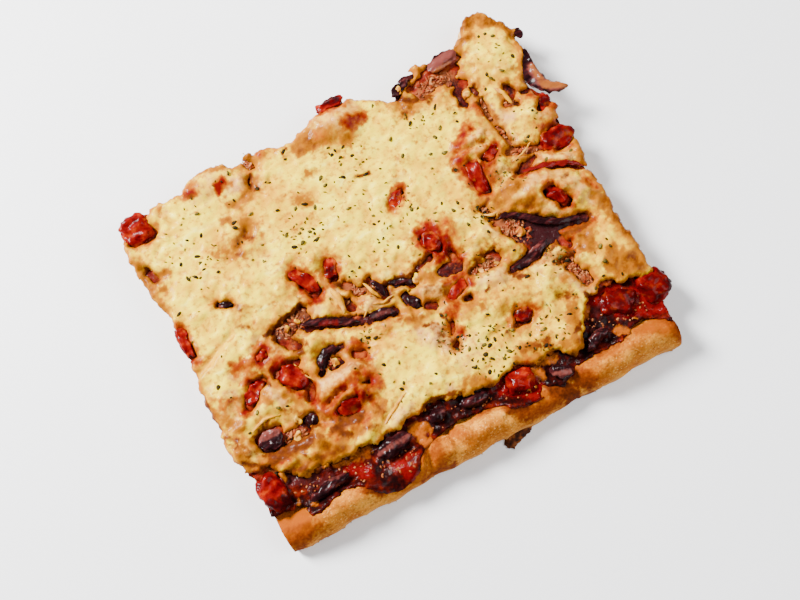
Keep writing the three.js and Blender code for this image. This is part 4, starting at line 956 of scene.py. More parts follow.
print("spots on the sauce:", sum(map(len, (RUBY, CHAR, AMBER, MAUVE))))


# %% Shape of the sauce
def sauce_depth(points):
    """How far inside the sauce each point lies."""
    moved = wandered(points, 0.8, 4, 21)
    front = moved[:, 1] - read_edge(SAUCE_FRONT, moved[:, 0])
    return np.min([inside_cuts(moved) - 0.8, front, SAUCE_RIGHT - moved[:, 0]], axis=0)


def sauce_top(points):
    """A heap of lumps along the crust, draped over its slope, and a level spread elsewhere."""
    bread_below = bread_top(points)
    band = soft(BARE_BAND - points[:, 1], 7)
    lumps = uneven(points, 6, 23) + 0.9 * np.abs(uneven(points, 2.6, 24)) + 0.22 * uneven(points, 1.2, 25)
    t = np.clip(sauce_depth(points) / 1.6, 0, 1)
    draped = bread_below + 0.25 + (1.2 + 0.5 * lumps) * np.sqrt(1 - (1 - t) ** 2)
    heap = SAUCE_LEVEL + band * (1.4 + lumps)
    return np.where(bread_below > 8.3, np.maximum(draped, heap), heap)


# %% [markdown]
# Cooked-down sauce is nearly black in the thick places and ruby where light gets through. It is the wettest
# thing on the slice, so a clear coat gives it small sharp glints.

# %% Make the sauce
def cooked_sauce():
    """Tomato sauce cooked down with red onion: dark red to purple black, wet and glossy."""
    material, tree, shader, where = new_material(
        "cooked_tomato_sauce", Specular_IOR_Level=0.02, Coat_Weight=0.06, Coat_Roughness=0.06,
        Subsurface_Weight=0.05, Subsurface_Scale=1 * MM,
    )
    grain = speckle(tree, where, 1.2)
    reds = add(tree, "ValToRGB", {"Fac": speckle(tree, where, 3.5, 5)},
               stops=[(0.3, "#140303"), (0.44, "#2C0504"), (0.56, "#480A06"), (0.7, "#6E1C06")])
    paints = [
        ("ruby", "#640304", 0.3, 1), ("mauve", "#3A1212", 0.35, 1), ("char", "#0E0404", 0.45, 1.15),
        ("amber", "#904604", 0.4, 1),
    ]
    tree.links.new(lay_paints(tree, reds.outputs["Color"], grain, paints), shader.inputs["Base Color"])
    patchy_shine(tree, shader, grain, 0.18, 0.5)
    relief(tree, shader, grain, 0.6, 0.5, wet=True)
    return material


SAUCE_STEP, BARE_STEP, HIDDEN_STEP = 0.9, 0.85, 4
sauce_rows = np.concatenate([np.arange(-79, -38, BARE_STEP), np.arange(-37, 97, HIDDEN_STEP)])
sauce = trimmed_grid(sauce_depth, np.arange(-103, 112, SAUCE_STEP), sauce_rows)
thicken(sauce, sauce_top, lambda p: np.maximum(bread_top(p), BREAD_TOP) + 0.15)
sauce_material = cooked_sauce()
finish(sauce, "sauce_spread", sauce_material, ["tomato_sauce"], sauce_paints)

# %% [markdown]
# ## Tuna
# Tinned tuna breaks into short fibres that soak up the sauce. A lumpy bed fills the layer, and loose crumbs
# lie on it wherever the cheese is open. Each crumb is a squashed ball of few faces: there are hundreds, and
# nobody sees one alone.

# %% Tuna: outline, height and stains
MEAT = [
    (-54, 9, -44, 11, 4, 1), (-20, 10, -12, 5, 5, 0.9), (56, 3, 63, -4, 5, 0.9), (74, -38, 73, -24, 5, 1),
    (42, -9, 34, -10, 4, 0.8), (52, 15, 51, 9, 3, 0.7), (56, 77, 68, 77, 4.6, 0.9),
    (76.5, 60, 77, 35, 3, 1), (-33, 88, -31, 84, 3, 0.9), (86, 53, 90, 50, 3, 0.6),
    (-74, -34, -68, -35, 3, 0.8), (-85, -42, -50, -46, 5, 0.8), (75, 31, 86, 27, 3, 0.9),
    (-43, -14, -40, -14, 1.8, 0.9), (72, -24, 76, -24, 2.4, 0.8),
]
SHADE = [
    (-56, 10, -42, 12, 3, 0.55), (-46, 10, -40, 8, 3, 0.8), (36, -9, 46, -9, 2, 0.5),
    (60, -4, 78, -9, 4, 1.3), (64, -12, 78, -11, 3, 1.3), (-58, 8, -50, 8, 3, 0.8),
    (-52, 4, -50, -2, 3, 0.7), (-46, 6, -22, -4, 3, 0.9), (-19, -5, -6, -8, 3, 0.9), (0.8, -4, 4, -9, 4, 1),
    (60, 5, 78, -8, 3, 1), (76, -8, 90, -11, 3, 1), (48, -17, 74, -12, 3, 0.9), (20, -2, 28, -4, 4, 0.9),
    (-48, -15, -42, -9, 3, 1), (-38, -9, -34, -10, 2, 1), (-43, -17, -37, -16, 2, 1),
    (42, 80, 46, 85, 4, 1), (48, 86, 54, 87, 3, 1), (69, 62, 70, 74, 3, 0.9), (-48, 81, -40, 81, 2, 0.5),
    (91, 60, 91, 57, 2, 1), (-64, -31, -60, -32, 3.4, 1), (-60, 10, -42, 15, 2.4, 0.8), (-6, 5, 6, 1, 2, 1),
    (5, 3, 20, 7, 2, 0.8), (-87, -34, -75, -35, 3, 1), (-95, 62, -93, 58, 2, 0.7),
    (24, -18, 26, -18, 2, 0.9), (7, -12, 10, -14, 2, 0.7), (76, 67, 77, 64, 2, 0.9),
    (74, 21, 84, 25, 2, 0.8), (-24, 8, -22, 3, 2, 0.8), (-10, 9, -7, 1, 2, 0.8), (-75, 34, -69, 31, 2, 1),
    (95, 54, 99, 53, 1.5, 1), (60, -9, 72, -8, 2, 0.8),
]
tuna_paints = {"meat": stain(MEAT, 3, 1, 3, 81), "shade": stain(SHADE, 3, 1, 3, 83)}
TUNA_TOP, TUNA_UNDER, TUNA_FRONT, TUNA_RIGHT, TUNA_STEP = 12.4, 10.5, -43.5, 103, 1.1
print("spots on the tuna:", len(MEAT) + len(SHADE))


def tuna_depth(points):
    """How far inside the layer of tuna each point lies."""
    moved = wandered(points, 1.1, 5, 31)
    return np.min([inside_cuts(moved) - 1.6, moved[:, 1] - TUNA_FRONT, TUNA_RIGHT - moved[:, 0]], axis=0)


def tuna_top(points):
    """Nearly level under the cheese, and heaped up in lumps wherever the cheese is open."""
    open_here = soft(deepest(points, GAPS) - 0.5, 3)
    lumps = 0.6 * uneven(points, 3.4, 33) + 0.8 * np.abs(uneven(points, 1.8, 34))
    return TUNA_TOP + 0.25 * uneven(points, 5, 35) + open_here * (0.6 + lumps)


# %% Make the bed of tuna
def flaked_tuna():
    """Tinned tuna baked under cheese: short pinkish beige fibres, moist, soaked red in the hollows."""
    material, tree, shader, where = new_material(
        "flaked_tuna", Specular_IOR_Level=0.04, Roughness=0.42, Coat_Weight=0.07, Coat_Roughness=0.08
    )
    grain = speckle(tree, where, 1)
    soaked = add(tree, "ValToRGB", {"Fac": speckle(tree, where, 3)},
                 stops=[(0.32, "#4A0E08"), (0.5, "#701A0A"), (0.7, "#8E3E12")])
    meat = [("meat", "#7E4020", 0.3, 0.9), ("pale", "#B47A4C", 0.4, 1.1), ("shade", "#260A0C", 0.35, 1)]
    tree.links.new(lay_paints(tree, soaked.outputs["Color"], grain, meat), shader.inputs["Base Color"])
    relief(tree, shader, grain, 0.5, 0.6, wet=True)
    return material


tuna = trimmed_grid(tuna_depth, np.arange(-103, 112, TUNA_STEP), np.arange(-46, 97, TUNA_STEP))
thicken(tuna, tuna_top, lambda p: np.full(len(p), TUNA_UNDER))
tuna_material = flaked_tuna()
finish(tuna, "tuna_bed", tuna_material, ["tuna"], tuna_paints)


# %% Tuna crumbs
def scatter(rng, spots, count):
    """Random places inside some spots, spread by the spots' areas."""
    sizes = [math.hypot(x2 - x1, y2 - y1) * 2 * r + math.pi * r * r for x1, y1, x2, y2, r, _ in spots]
    places = []
    for x1, y1, x2, y2, r, _ in rng.choices(spots, sizes, k=count):
        t, angle, reach = rng.random(), rng.uniform(0, 2 * math.pi), r * math.sqrt(rng.random())
        x, y = x1 + t * (x2 - x1), y1 + t * (y2 - y1)
        places.append((x + reach * math.cos(angle), y + reach * math.sin(angle)))
    return np.array(places)


def add_crumb(bm, rng, place, size, longest, rounds=1):
    """A squashed, turned ball."""
    turn, tilt = rng.uniform(0, math.pi), rng.uniform(-0.4, 0.4)
    turned = Matrix.Rotation(turn, 4, "Z") @ Matrix.Rotation(tilt, 4, "Y")
    shaped = Matrix.Diagonal((size * rng.uniform(1, longest), size, size * 0.75, 1))
    placed = Matrix.Translation(place) @ turned @ shaped
    bmesh.ops.create_icosphere(bm, subdivisions=rounds, radius=1, matrix=placed)


CRUMBS = 1100  # tried, of which those in the openings stay
rng = random.Random(7)
crumbs = bmesh.new()
places = scatter(rng, MEAT, CRUMBS)
places = places[(cheese_depth(places) < -0.3) & (inside_cuts(places) > 1) & (places[:, 1] > -43)]
for (x, y), z in zip(places, tuna_top(places)):
    add_crumb(crumbs, rng, (x, y, z + 0.2), rng.uniform(0.3, 0.7), 4)
print("tuna crumbs:", len(places))
crumb_paints = {
    "meat": lambda p: 0.6 + 0.6 * uneven(p[:, :2], 2, 84),
    "pale": lambda p: 0.45 + 0.6 * uneven(p[:, :2], 2.5, 85),
}
finish(crumbs, "tuna_crumbs", tuna_material, ["tuna"], crumb_paints)

# %% [markdown]
# ## Tomato and onion
# Each chunk and strip starts as a merged copy of its solid, so it lies where the solid does. The copy is
# cut finer, smoothed to lose its corners and pushed in and out by noise. What the cheese covers may not
# stand above its skin, because in the oven the cheese sank down round every chunk.

# %% Softer copies of the solids
def finer_copy(node, rounds, lumps, lump_size, seed):
    """A finer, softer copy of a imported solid, in mm, lumpy and no higher than the cheese over it."""
    bm = bmesh.new()
    bm.from_mesh(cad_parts[node].data)
    bmesh.ops.scale(bm, verts=bm.verts[:], vec=(1 / MM,) * 3)
    bmesh.ops.remove_doubles(bm, verts=bm.verts[:], dist=0.02)
    bmesh.ops.subdivide_edges(bm, edges=bm.edges[:], cuts=3, use_grid_fill=True)
    axes = {"use_axis_x": True, "use_axis_y": True, "use_axis_z": True}
    for _ in range(rounds):
        bmesh.ops.smooth_vert(bm, verts=bm.verts[:], factor=0.5, **axes)
    bm.normal_update()
    for vert in bm.verts:
        spot = vert.co / lump_size + Vector((seed, 0, 0))
        vert.co += vert.normal * lumps * noise.fractal(spot, 0.8, 2, 3)
    at = plan(bm.verts)
    covered = soft(cheese_depth(at) + 3, 4)
    limit = cheese_skin(at) - 0.5 - 0.5 * covered
    for vert, cap, under in zip(bm.verts, limit, covered):
        if under > 0.05 and vert.co.z > cap:
            vert.co.z += under * (cap + 0.15 * (vert.co.z - cap) - vert.co.z)
    return bm


# %% Stains on the chunks and strips
SKIN = [  # red places on the onion
    (78, 20, 88, 17, 3, 1), (88, 17, 97, 13, 3, 1), (97, 13, 103, 8, 3, 1), (-38, 3, -32, 1, 1.6, 0.6),
]
RIPE = [  # brown places on the onion
    (105, 62, 105, 52, 1.6, 0.8), (106, 51, 115, 45.4, 2, 1), (58, 80, 72, 81.4, 2.4, 0.7),
]
DEEP = [  # dark places on the tomato
    (21, -3, 27, -4, 4.6, 1), (-87, 77.6, -85.4, 80, 2.2, 0.5), (-95, 77, -93, 80, 2, 0.4),
    (-95, -57, -86, -57, 4, 0.9), (74, -47, 92, -56, 7, 0.75), (96, -56, 104, -54, 6, 0.7),
    (88, -50, 93, -62, 3, 0.9), (107, -56, 111, -54, 2.4, 1), (13, 95, 17, 93, 3, 1),
    (-33.6, 19, -33, 16.6, 2, 0.8), (-24, 23, -23.6, 18, 2, 0.9), (39, -39.6, 43, -39.6, 1.6, 1),
    (62, 35, 63, 34, 1.3, 1), (94, 28, 104, 26, 4, 0.7), (-74, -4, -72, -8, 2, 0.7),
    (-60, -8, -58, -6, 3, 0.5), (-58, -18, -59, -17, 2, 0.6), (-56, 16, -54, 20, 2, 0.5),
    (100, 46, 104, 42, 3, 0.9), (106, 36, 107, 24, 2, 0.7), (20, -67, 26, -73, 2, 1),
    (-95, 22, -95, 19, 2, 0.6), (40, -35, 44, -37, 2.6, 0.8), (-48, -33, -42, -34, 3, 0.6),
    (21, 16, 25, 8, 3, 0.25),
]
FLESH = [  # where an onion's mauve flesh shows
    (104.6, 62, 104.4, 54, 2.2, 0.9), (104.4, 54, 109, 47.4, 2.2, 0.9), (109, 47.4, 115, 46.6, 2.4, 0.9),
    (64, 84, 76, 84.6, 4, 1), (-85, -26, -78, -26.6, 3.6, 1), (-43, -58.6, -28, -58.4, 1.2, 0.8),
    (-13, 8.6, -10.4, 4, 1.6, 0.8), (-46, 6, -43, 3.6, 1.5, 0.5), (50, -13.4, 64, -12, 1.1, 0.7),
    (-16, -4.6, -9, -6, 1.4, 0.5), (-48, -15, -46.4, -16, 1.3, 0.9), (60, -60, 70, -58, 2, 0.4),
    (40.6, -66.4, 47, -68.6, 1.2, 1), (-73.6, 32, -74.6, 31, 1.4, 0.8), (-37, 3, -33, 1.4, 1.2, 0.5),
    (-70, -56, -64, -58, 2, 0.5), (80, 28.6, 84, 27.4, 2, 0.8), (89.6, 55.6, 91, 54, 1.6, 1),
]


# %% [markdown]
# Baked tomato is red flesh that light goes into, orange where it is thin, with a wet skin. Roasted red
# onion is purple black outside and mauve inside, and both shine with oil.

# %% Tomato and onion materials
def baked_tomato():
    """Tinned plum tomato baked until its edges darken: deep wet red with orange flesh."""
    material, tree, shader, where = new_material(
        "baked_tomato", Specular_IOR_Level=0.02, Subsurface_Weight=0.08, Subsurface_Radius=(1, 0.2, 0.1),
        Subsurface_Scale=1.2 * MM, Coat_Weight=0.07, Coat_Roughness=0.08,
    )
    grain = speckle(tree, where, 1.4)
    reds = add(tree, "ValToRGB", {"Fac": speckle(tree, where, 4)},
               stops=[(0.32, "#3E0203"), (0.45, "#5E0304"), (0.57, "#720A04"), (0.7, "#942A02")])
    paints = [("film", "#A44A04", 0.75, 1.5), ("deep", "#220406", 0.3, 1.1)]
    tree.links.new(lay_paints(tree, reds.outputs["Color"], grain, paints), shader.inputs["Base Color"])
    patchy_shine(tree, shader, grain, 0.2, 0.5)
    relief(tree, shader, grain, 0.4, 0.25)
    return material


def roasted_onion():
    """Red onion roasted soft: purple black skin and mauve, see-through flesh, glossy with oil."""
    material, tree, shader, where = new_material(
        "roasted_red_onion", Specular_IOR_Level=0.04, Roughness=0.3, Subsurface_Weight=0.08,
        Subsurface_Scale=1 * MM, Coat_Weight=0.1, Coat_Roughness=0.08,
    )
    grain = speckle(tree, where, 1.2)
    fibres_lie = {"Vector": where, "Rotation": (0, 0, 0.35), "Scale": (1, 3.4, 2)}
    along_fibres = add(tree, "Mapping", fibres_lie).outputs[0]
    purples = add(tree, "ValToRGB", {"Fac": speckle(tree, along_fibres, 6, 3)},
                  stops=[(0.35, "#120406"), (0.52, "#1E080A"), (0.64, "#381214"), (0.76, "#5A2A24")])
    paints = [("flesh", "#64302A", 0.3, 0.9), ("ripe", "#82461C", 0.3, 0.9), ("skin", "#5A0A0A", 0.2, 0.8)]
    tree.links.new(lay_paints(tree, purples.outputs["Color"], grain, paints), shader.inputs["Base Color"])
    relief(tree, shader, speckle(tree, along_fibres, 4, 2), 0.3, 0.4)
    return material


# %% Make the chunks and strips
onion_paints = {
    "flesh": stain(FLESH, 2, 0.4, 3, 89),
    "ripe": lambda p: strength(p[:, :2], RIPE, 2),
    "skin": lambda p: strength(p[:, :2], SKIN, 2),
}


def cheese_film(p):
    """Where a chunk at the edge of an opening is filmed over with cheese."""
    return soft(cheese_depth(p[:, :2]) + 0.9, 2.4) * (p[:, 1] > -46) * (0.8 + 0.4 * uneven(p[:, :2], 3, 88))


tomato_paints = {"deep": stain(DEEP, 3, 0.8, 3, 87), "film": cheese_film}
tomato_material, onion_material = baked_tomato(), roasted_onion()
tomato_nodes = sorted({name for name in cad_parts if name.startswith("tomato_")} - {"tomato_sauce"})
onion_nodes = sorted(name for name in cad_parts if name.startswith("onion_"))
print("chunks:", len(tomato_nodes), "strips:", len(onion_nodes))
for number, node in enumerate(tomato_nodes):
    chunk = finer_copy(node, 2, 1.1, 2.8, number)
    finish(chunk, node + "_baked", tomato_material, [node], tomato_paints)
for number, node in enumerate(onion_nodes):
    strip = finer_copy(node, 1, 0.9, 3.0, number)
    finish(strip, node + "_roasted", onion_material, [node], onion_paints)

# %% [markdown]
# ## Loose bits
# Lumps of cheese that fell into the openings, and pale crumbs of tuna in the sauce along the crust.

# %% Make the loose bits
LUMPS = [  # x, y, radius, height
    (-71, -35, 2.6, 13.6), (-67.4, -28.6, 1.7, 16.4), (45.4, 82.4, 1.5, 15.6), (72, 65, 2.3, 15),
    (61, -3, 2.4, 14), (-41, -14.2, 1.9, 14), (42, -67.2, 1.5, 13.4), (45.4, -68.6, 1.4, 12.8),
    (25.6, -61, 0.8, 15.2), (28, -66.4, 0.6, 14.9), (31, -67, 0.7, 13.9), (29.6, -72.4, 0.6, 12.9),
    (20, -67.6, 0.7, 13.9), (2.4, -61.2, 0.6, 12.9), (85.6, -62.4, 0.8, 13.9), (-17, 1, 3, 15.4),
    (-13, 2.4, 2.4, 15.2), (9, 1.2, 2, 14.6), (-52, 9, 1.6, 14.4), (-47, 10.4, 1.5, 14.4),
    (44, -10.6, 1.4, 14.6), (36, -10, 1.3, 14.6),
]
SMALL_LUMP_SPOTS = [(-84, -45, -54, -51, 3.4, 1), (32, -55, 46, -57.6, 2.4, 1)]
SMALL_LUMPS, BITS = 44, 170
lumps = bmesh.new()
for x, y, radius, z in LUMPS:
    add_crumb(lumps, rng, (x, y, z - 0.3), 0.75 * radius, 1.8, 3)
places = scatter(rng, SMALL_LUMP_SPOTS, SMALL_LUMPS)
for (x, y), z in zip(places, np.maximum(sauce_top(places), 12.6)):
    add_crumb(lumps, rng, (x, y, z + 0.3), rng.uniform(1, 2.2), 2, 3)
for vert in lumps.verts:
    vert.co += 1.1 * noise.noise_vector(vert.co / 1.9)
IN_SAUCE = -40  # the y in front of which a lump lies in the sauce, which stains it
lump_paints = {
    "pink": lambda p: 0.7 + 0.5 * uneven(p[:, :2], 6, 91),
    "tan": lambda p: 0.6 + 0.5 * uneven(p[:, :2], 4, 92),
    "toast": lambda p: 0.7 * (p[:, 1] < IN_SAUCE) * (p[:, 2] < 16) + 0.5 * uneven(p[:, :2], 4, 97),
    "red": lambda p: 0.35 * (p[:, 1] < IN_SAUCE) + 0.5 * uneven(p[:, :2], 6, 98),
    # brown: random browning, and painted shade on the lower part of each lump that lies in the sauce
    "brown": lambda p: 0.6 * uneven(p[:, :2], 5, 96) + 0.7 * (p[:, 1] < IN_SAUCE) * soft(14 - p[:, 2], 2),
}
finish(lumps, "cheese_lumps", cheese_material, ["cheese"], lump_paints)

bits = bmesh.new()
BIT_SPOTS = [
    (-82, -58, -52, -62, 5, 1), (-48, -62, -30, -68, 6, 1), (-14, -59, 12, -60, 4, 1),
    (18, -58, 30, -68, 6, 1), (62, -58, 98, -56, 7, 1),
]
places = scatter(rng, BIT_SPOTS, BITS)
places = places[sauce_depth(places) > 1]
for (x, y), z in zip(places, sauce_top(places)):
    add_crumb(bits, rng, (x, y, z + 0.1), rng.uniform(0.25, 0.6), 2.2)
bit_paints = {"meat": lambda p: np.ones(len(p)), "pale": lambda p: 0.3 + 0.7 * uneven(p[:, :2], 2.5, 93)}
finish(bits, "sauce_crumbs", tuna_material, ["tomato_sauce"], bit_paints)

# %% [markdown]
# Fine strings of cheese hang over the openings where two shreds parted. Each is a ball drawn out along a
# line: the height on the ball says how far along the line a point goes, and the other two how far it lies
# from it.

# %% Make the fine strings
STRANDS = [  # points x, y, z along the line, and the radius
    ([(-20, -3, 14.6), (-15, 0.8, 16.4), (-9, -1.6, 16.2), (-3, 0, 15.6)], 0.6),
    ([(-13, 11, 15), (-11, 5, 16.2), (-9, 1, 15)], 0.8),
    ([(-57, -6, 14.4), (-55.6, -12, 15.6), (-52.6, -17, 14.6)], 0.5),
    ([(-27, 16, 15.4), (-25.4, 10, 16.2), (-26.4, 3, 15)], 1.4),
    ([(49, 12, 14.6), (54, 9.6, 15.6), (57, 10, 15)], 0.7),
    ([(-35, -49, 15.8), (-28, -45, 16.8), (-20, -41, 16.2)], 0.7),
    ([(84, 62, 15.4), (87, 57.6, 16), (88, 51, 15.4)], 1.1),
    ([(74, 27, 15), (80, 28, 15.6), (86, 31, 15.4)], 0.5),
    ([(-88, -24, 15.6), (-80, -21.4, 16.6), (-72, -23, 15.6)], 0.7),
    ([(66, 30, 15.8), (68, 34.4, 17), (72, 36, 16)], 0.8),
]


def add_strand(bm, line, thick):
    """A ball drawn out along a line of points, so it tapers at both ends."""
    line = np.array(line)
    steps = np.linspace(0, 1, len(line))
    for vert in bmesh.ops.create_uvsphere(bm, u_segments=8, v_segments=20, radius=1)["verts"]:
        t = (vert.co.z + 1) / 2
        place, ahead = ([np.interp(at, steps, line[:, i]) for i in range(3)] for at in (t, t + 0.01))
        behind = [np.interp(t - 0.01, steps, line[:, i]) for i in range(3)]
        along = (Vector(ahead) - Vector(behind)).normalized()
        side = along.cross(Vector((0, 0, 1))).normalized()
        vert.co = Vector(place) + thick * (vert.co.x * side + vert.co.y * side.cross(along))


strands = bmesh.new()
for line, thick in STRANDS:
    add_strand(strands, line, thick)
for vert in strands.verts:
    vert.co += 0.5 * noise.noise_vector(vert.co / 2.4)
strand_paints = {
    "yellow": lambda p: np.ones(len(p)),
    "pink": lambda p: 0.5 + 0.5 * uneven(p[:, :2], 6, 94),
    "tan": lambda p: 0.6 + 0.6 * uneven(p[:, :2], 4, 95),
}
finish(strands, "cheese_strands", cheese_material, ["cheese"], strand_paints)

# %% [markdown]
# ## Herbs
# Dried oregano and basil: flat flakes of one to five millimetres, from olive to nearly black. The larger
# ones lie where they do on the real slice, and small ones are strewn between them.

# %% Places of the larger flakes: x, y, length in mm, turn in degrees
DARK_FLAKES = [
    (-91, 38, 2.8, 30), (-80, 58, 2, 60), (-72, 57.5, 2.8, -25), (-77, 50, 3.6, -60), (-80, 50.5, 2.8, 90),
    (-72, 50.6, 2, 0), (-75, 48, 1.6, 0), (-67, 46.6, 1.8, -20), (-72.5, 66.4, 1.6, -30),
    (-66, 65.4, 2.2, 60), (-50, 63, 3, -5), (-51, 61, 2.4, -35), (-32, 39.8, 2.8, -25),
    (-18.4, 55.5, 3, -20), (-30.6, 58.8, 1.9, -10), (-20.6, 43.4, 2, -50), (-21, 41.2, 1.6, 80),
    (-21, 38, 2.8, 10), (3, 58, 2.3, -45), (12.4, 54, 2.8, 20), (11.6, 65, 2.2, -20), (6, 67, 2.4, -10),
    (3.4, 69.6, 2, 50), (5.6, 71, 1.6, 80), (9.6, 70.8, 2, 20), (3.5, 73.6, 1.6, 0), (-14.8, 82, 2.4, 20),
    (-16, 78.6, 1.6, 0), (-29, 73.2, 1.2, 0), (-34, 72.6, 2.2, 10), (4.5, 32, 1.7, -45), (7, 31.8, 1.4, 10),
    (10.4, 27.5, 1.5, 20), (8.8, 17.3, 1.9, 60), (-11, 17.8, 1.6, 40), (-14.6, 17.7, 1.5, -20),
    (2.2, 23.3, 1.2, 0), (25, 28.6, 1.6, 30), (42, 65.4, 2.8, 45), (62.3, 60, 1.8, 0),
    (61.2, 55.5, 1.8, 80), (56, 66.6, 3, 50), (49.4, 35.5, 2.4, -50), (35.8, 25.2, 1.7, 60),
    (42.2, 22, 1.9, 80), (43, 18.6, 1.3, 0), (84.6, 68.8, 2.2, 70), (86.2, 33.4, 2.8, 20),
    (81, 63.3, 1.7, 50), (99.8, 71, 2.4, 80), (90.8, 87, 1.6, 60), (94, 86.6, 1.7, 0), (93.3, 42.6, 1.5, 0),
    (-90.6, 0.4, 2.5, 80), (-88, -6, 1.1, 0), (-68.5, -21.2, 1.9, -10), (-88, -23.5, 1.5, 0),
    (-86.6, -44.4, 2, 40), (-26, -11, 1.7, 30), (-23, -11.6, 2.8, -30), (-20, -13.6, 2.4, 20),
    (-22.5, -26, 2.4, -30), (-21.2, -39.2, 2.5, -45), (-19, -37.2, 1.7, 60), (-4.8, -40.8, 1.7, -40),
    (11.2, -46.6, 2.4, -40), (16.4, -45.2, 1.5, 60), (18.4, -44, 2.5, 10), (20.4, -47, 2.4, -50),
    (22, -41.4, 2.6, 20), (25.6, -40.2, 2.6, 80), (12, -43.4, 1.5, -60), (28, -29, 2, -30),
    (33.2, -48.6, 2, 50), (16.4, -51.6, 2.4, 60), (60, -46.5, 2.3, -20), (54.4, -46.6, 1.8, 70),
    (50.5, -42.4, 1.9, 30), (52.4, -23, 2.8, 20), (49.6, -52.6, 2, 70), (44, -53.6, 2.1, 20),
    (72.4, -25, 3, 10), (92, -25.5, 1.7, -50), (92, -29, 1.8, -60), (82.4, -39, 1.6, 0),
    (90, -42.5, 1.7, 80), (53.4, -9.4, 1.5, 0), (38.4, -3.8, 1.3, 0), (62, -22.4, 1.7, 0),
    (66, -22.6, 1.5, -30), (10.4, -19.6, 2.2, -70), (11.6, -14.6, 1.3, 0), (14.4, -15, 1.8, 80),
    (12, -31, 1.6, 0), (14, -31.4, 1.8, 30), (16.8, -33.3, 1.7, 10), (9, -35.8, 1.9, -40),
    (51, 12, 2.4, 60), (50, 8, 2, 0), (47.4, 3, 2.6, 80), (49, 16, 2, 20), (53, 9.4, 2, 50),
    (48.6, 11, 1.8, 90), (76.6, -42.2, 1.6, 50),
]
OLIVE_FLAKES = [
    (-72, 54, 1.8, 20), (-63, 75, 2.3, -10), (-42, 63.4, 2.6, 0), (-23, 55.6, 2.3, 40), (-15, 52, 2.6, 60),
    (-32.6, 46.6, 2.3, 50), (-28, 40, 3, 0), (-22.4, 43, 2, -20), (-24, 41, 1.2, 0), (-27, 44.4, 2, 0),
    (-6.4, 62.6, 2.8, 40), (-6, 58.6, 2.4, 10), (-42, 85, 2.2, 80), (-2, 43.8, 2.8, 0), (1, 43.6, 1.2, -30),
    (22.6, 29.6, 2, 70), (6, 35.6, 1.5, -30), (49.5, 45.2, 4, -20), (48.6, 54, 2.4, -60), (53, 57, 2.8, 50),
    (43, 48, 2, 0), (91.6, 67, 2.8, -50), (85.6, 66.4, 2.2, -60), (40, 41.8, 1.5, 0), (-72, -20, 2.2, -50),
    (-16.4, -28.4, 1.9, 60), (-9, -43.2, 1.4, 0), (20, -40, 2.2, 0), (28.4, -47.6, 3.2, -50),
    (46.4, -46.8, 3.2, 0), (40, -46, 2.2, 50), (13.4, -38.6, 2.8, 60), (88.2, -26.4, 3.8, 50),
    (86, -33.6, 2.6, -40), (70.4, -22, 3, 30), (57, -24, 2, 60), (41.6, 11, 2.2, 60), (38.6, 20, 2.5, -50),
    (88, 19.8, 2.6, 20), (100, 18, 2.4, 40), (68, 24, 1.7, 0), (84.4, 32.4, 2.2, -30), (52, 10.6, 3, 40),
    (96.4, 84, 2.6, -20), (31, 81, 2, 60), (-81, -17.4, 2.4, 50), (-44, 48, 1.2, 0), (29.4, 19, 1.8, -40),
    (31, 23, 2, -20), (-51, 44, 1.2, 20), (30.6, 63.6, 2.8, 60), (12, -20, 1.8, 40), (34.6, -40.4, 1.8, 20),
    (31.4, 53.4, 2.4, 50),
]
STREWN = [  # x, y, spread and number of the small ones
    (-74, 55, 14, 10), (-26, 44, 10, 14), (6, 66, 12, 10), (46, 64, 8, 8), (50, 12, 5, 18),
    (22, -44, 12, 34), (46, -47, 12, 22), (70, -23, 8, 16), (-22, -12, 5, 10), (10, 26, 18, 12),
    (86, 38, 10, 8), (0, 20, 40, 20), (-50, 40, 45, 12), (50, 30, 30, 10), (10, -30, 8, 20),
    (88, 74, 10, 6), (60, -36, 26, 16), (-10, -34, 30, 12), (66, 22, 6, 6), (-60, 70, 20, 8),
    (36, -8, 8, 8),
]
STREWN_SHARE = 0.8  # of these, for each of the two herbs
print("placed flakes:", len(DARK_FLAKES) + len(OLIVE_FLAKES))


# %% Make the herbs
def add_flake(bm, x, y, z, length, turn, wide):
    """A flat leaf, twisted a little, as one low-poly ball pressed flat."""
    curled = Matrix.Rotation(0.25 * math.sin(5 * x), 4, "Y") @ Matrix.Rotation(0.4 * math.sin(7 * y), 4, "X")
    turned = Matrix.Rotation(turn, 4, "Z") @ curled
    shaped = Matrix.Diagonal((0.62 * length, 0.62 * wide, 0.2, 1))
    placed = Matrix.Translation((x, y, z)) @ turned @ shaped
    bmesh.ops.create_icosphere(bm, subdivisions=1, radius=1, matrix=placed)


def lie_on(x, y):
    """Where a flake rests: on the cheese, or on the tuna in an opening."""
    at = np.array([[x, y]])
    return float(np.where(cheese_depth(at) > 0.2, cheese_top(at), tuna_top(at) + 0.9)[0]) + 0.1


def dried_herb(name, stops):
    """Dried oregano and basil: brittle leaf, matt."""
    material, tree, shader, where = new_material(name, Specular_IOR_Level=0.08, Roughness=0.75)
    greens = add(tree, "ValToRGB", {"Fac": speckle(tree, where, 1.5, 2)}, stops=stops)
    tree.links.new(greens.outputs["Color"], shader.inputs["Base Color"])
    return material


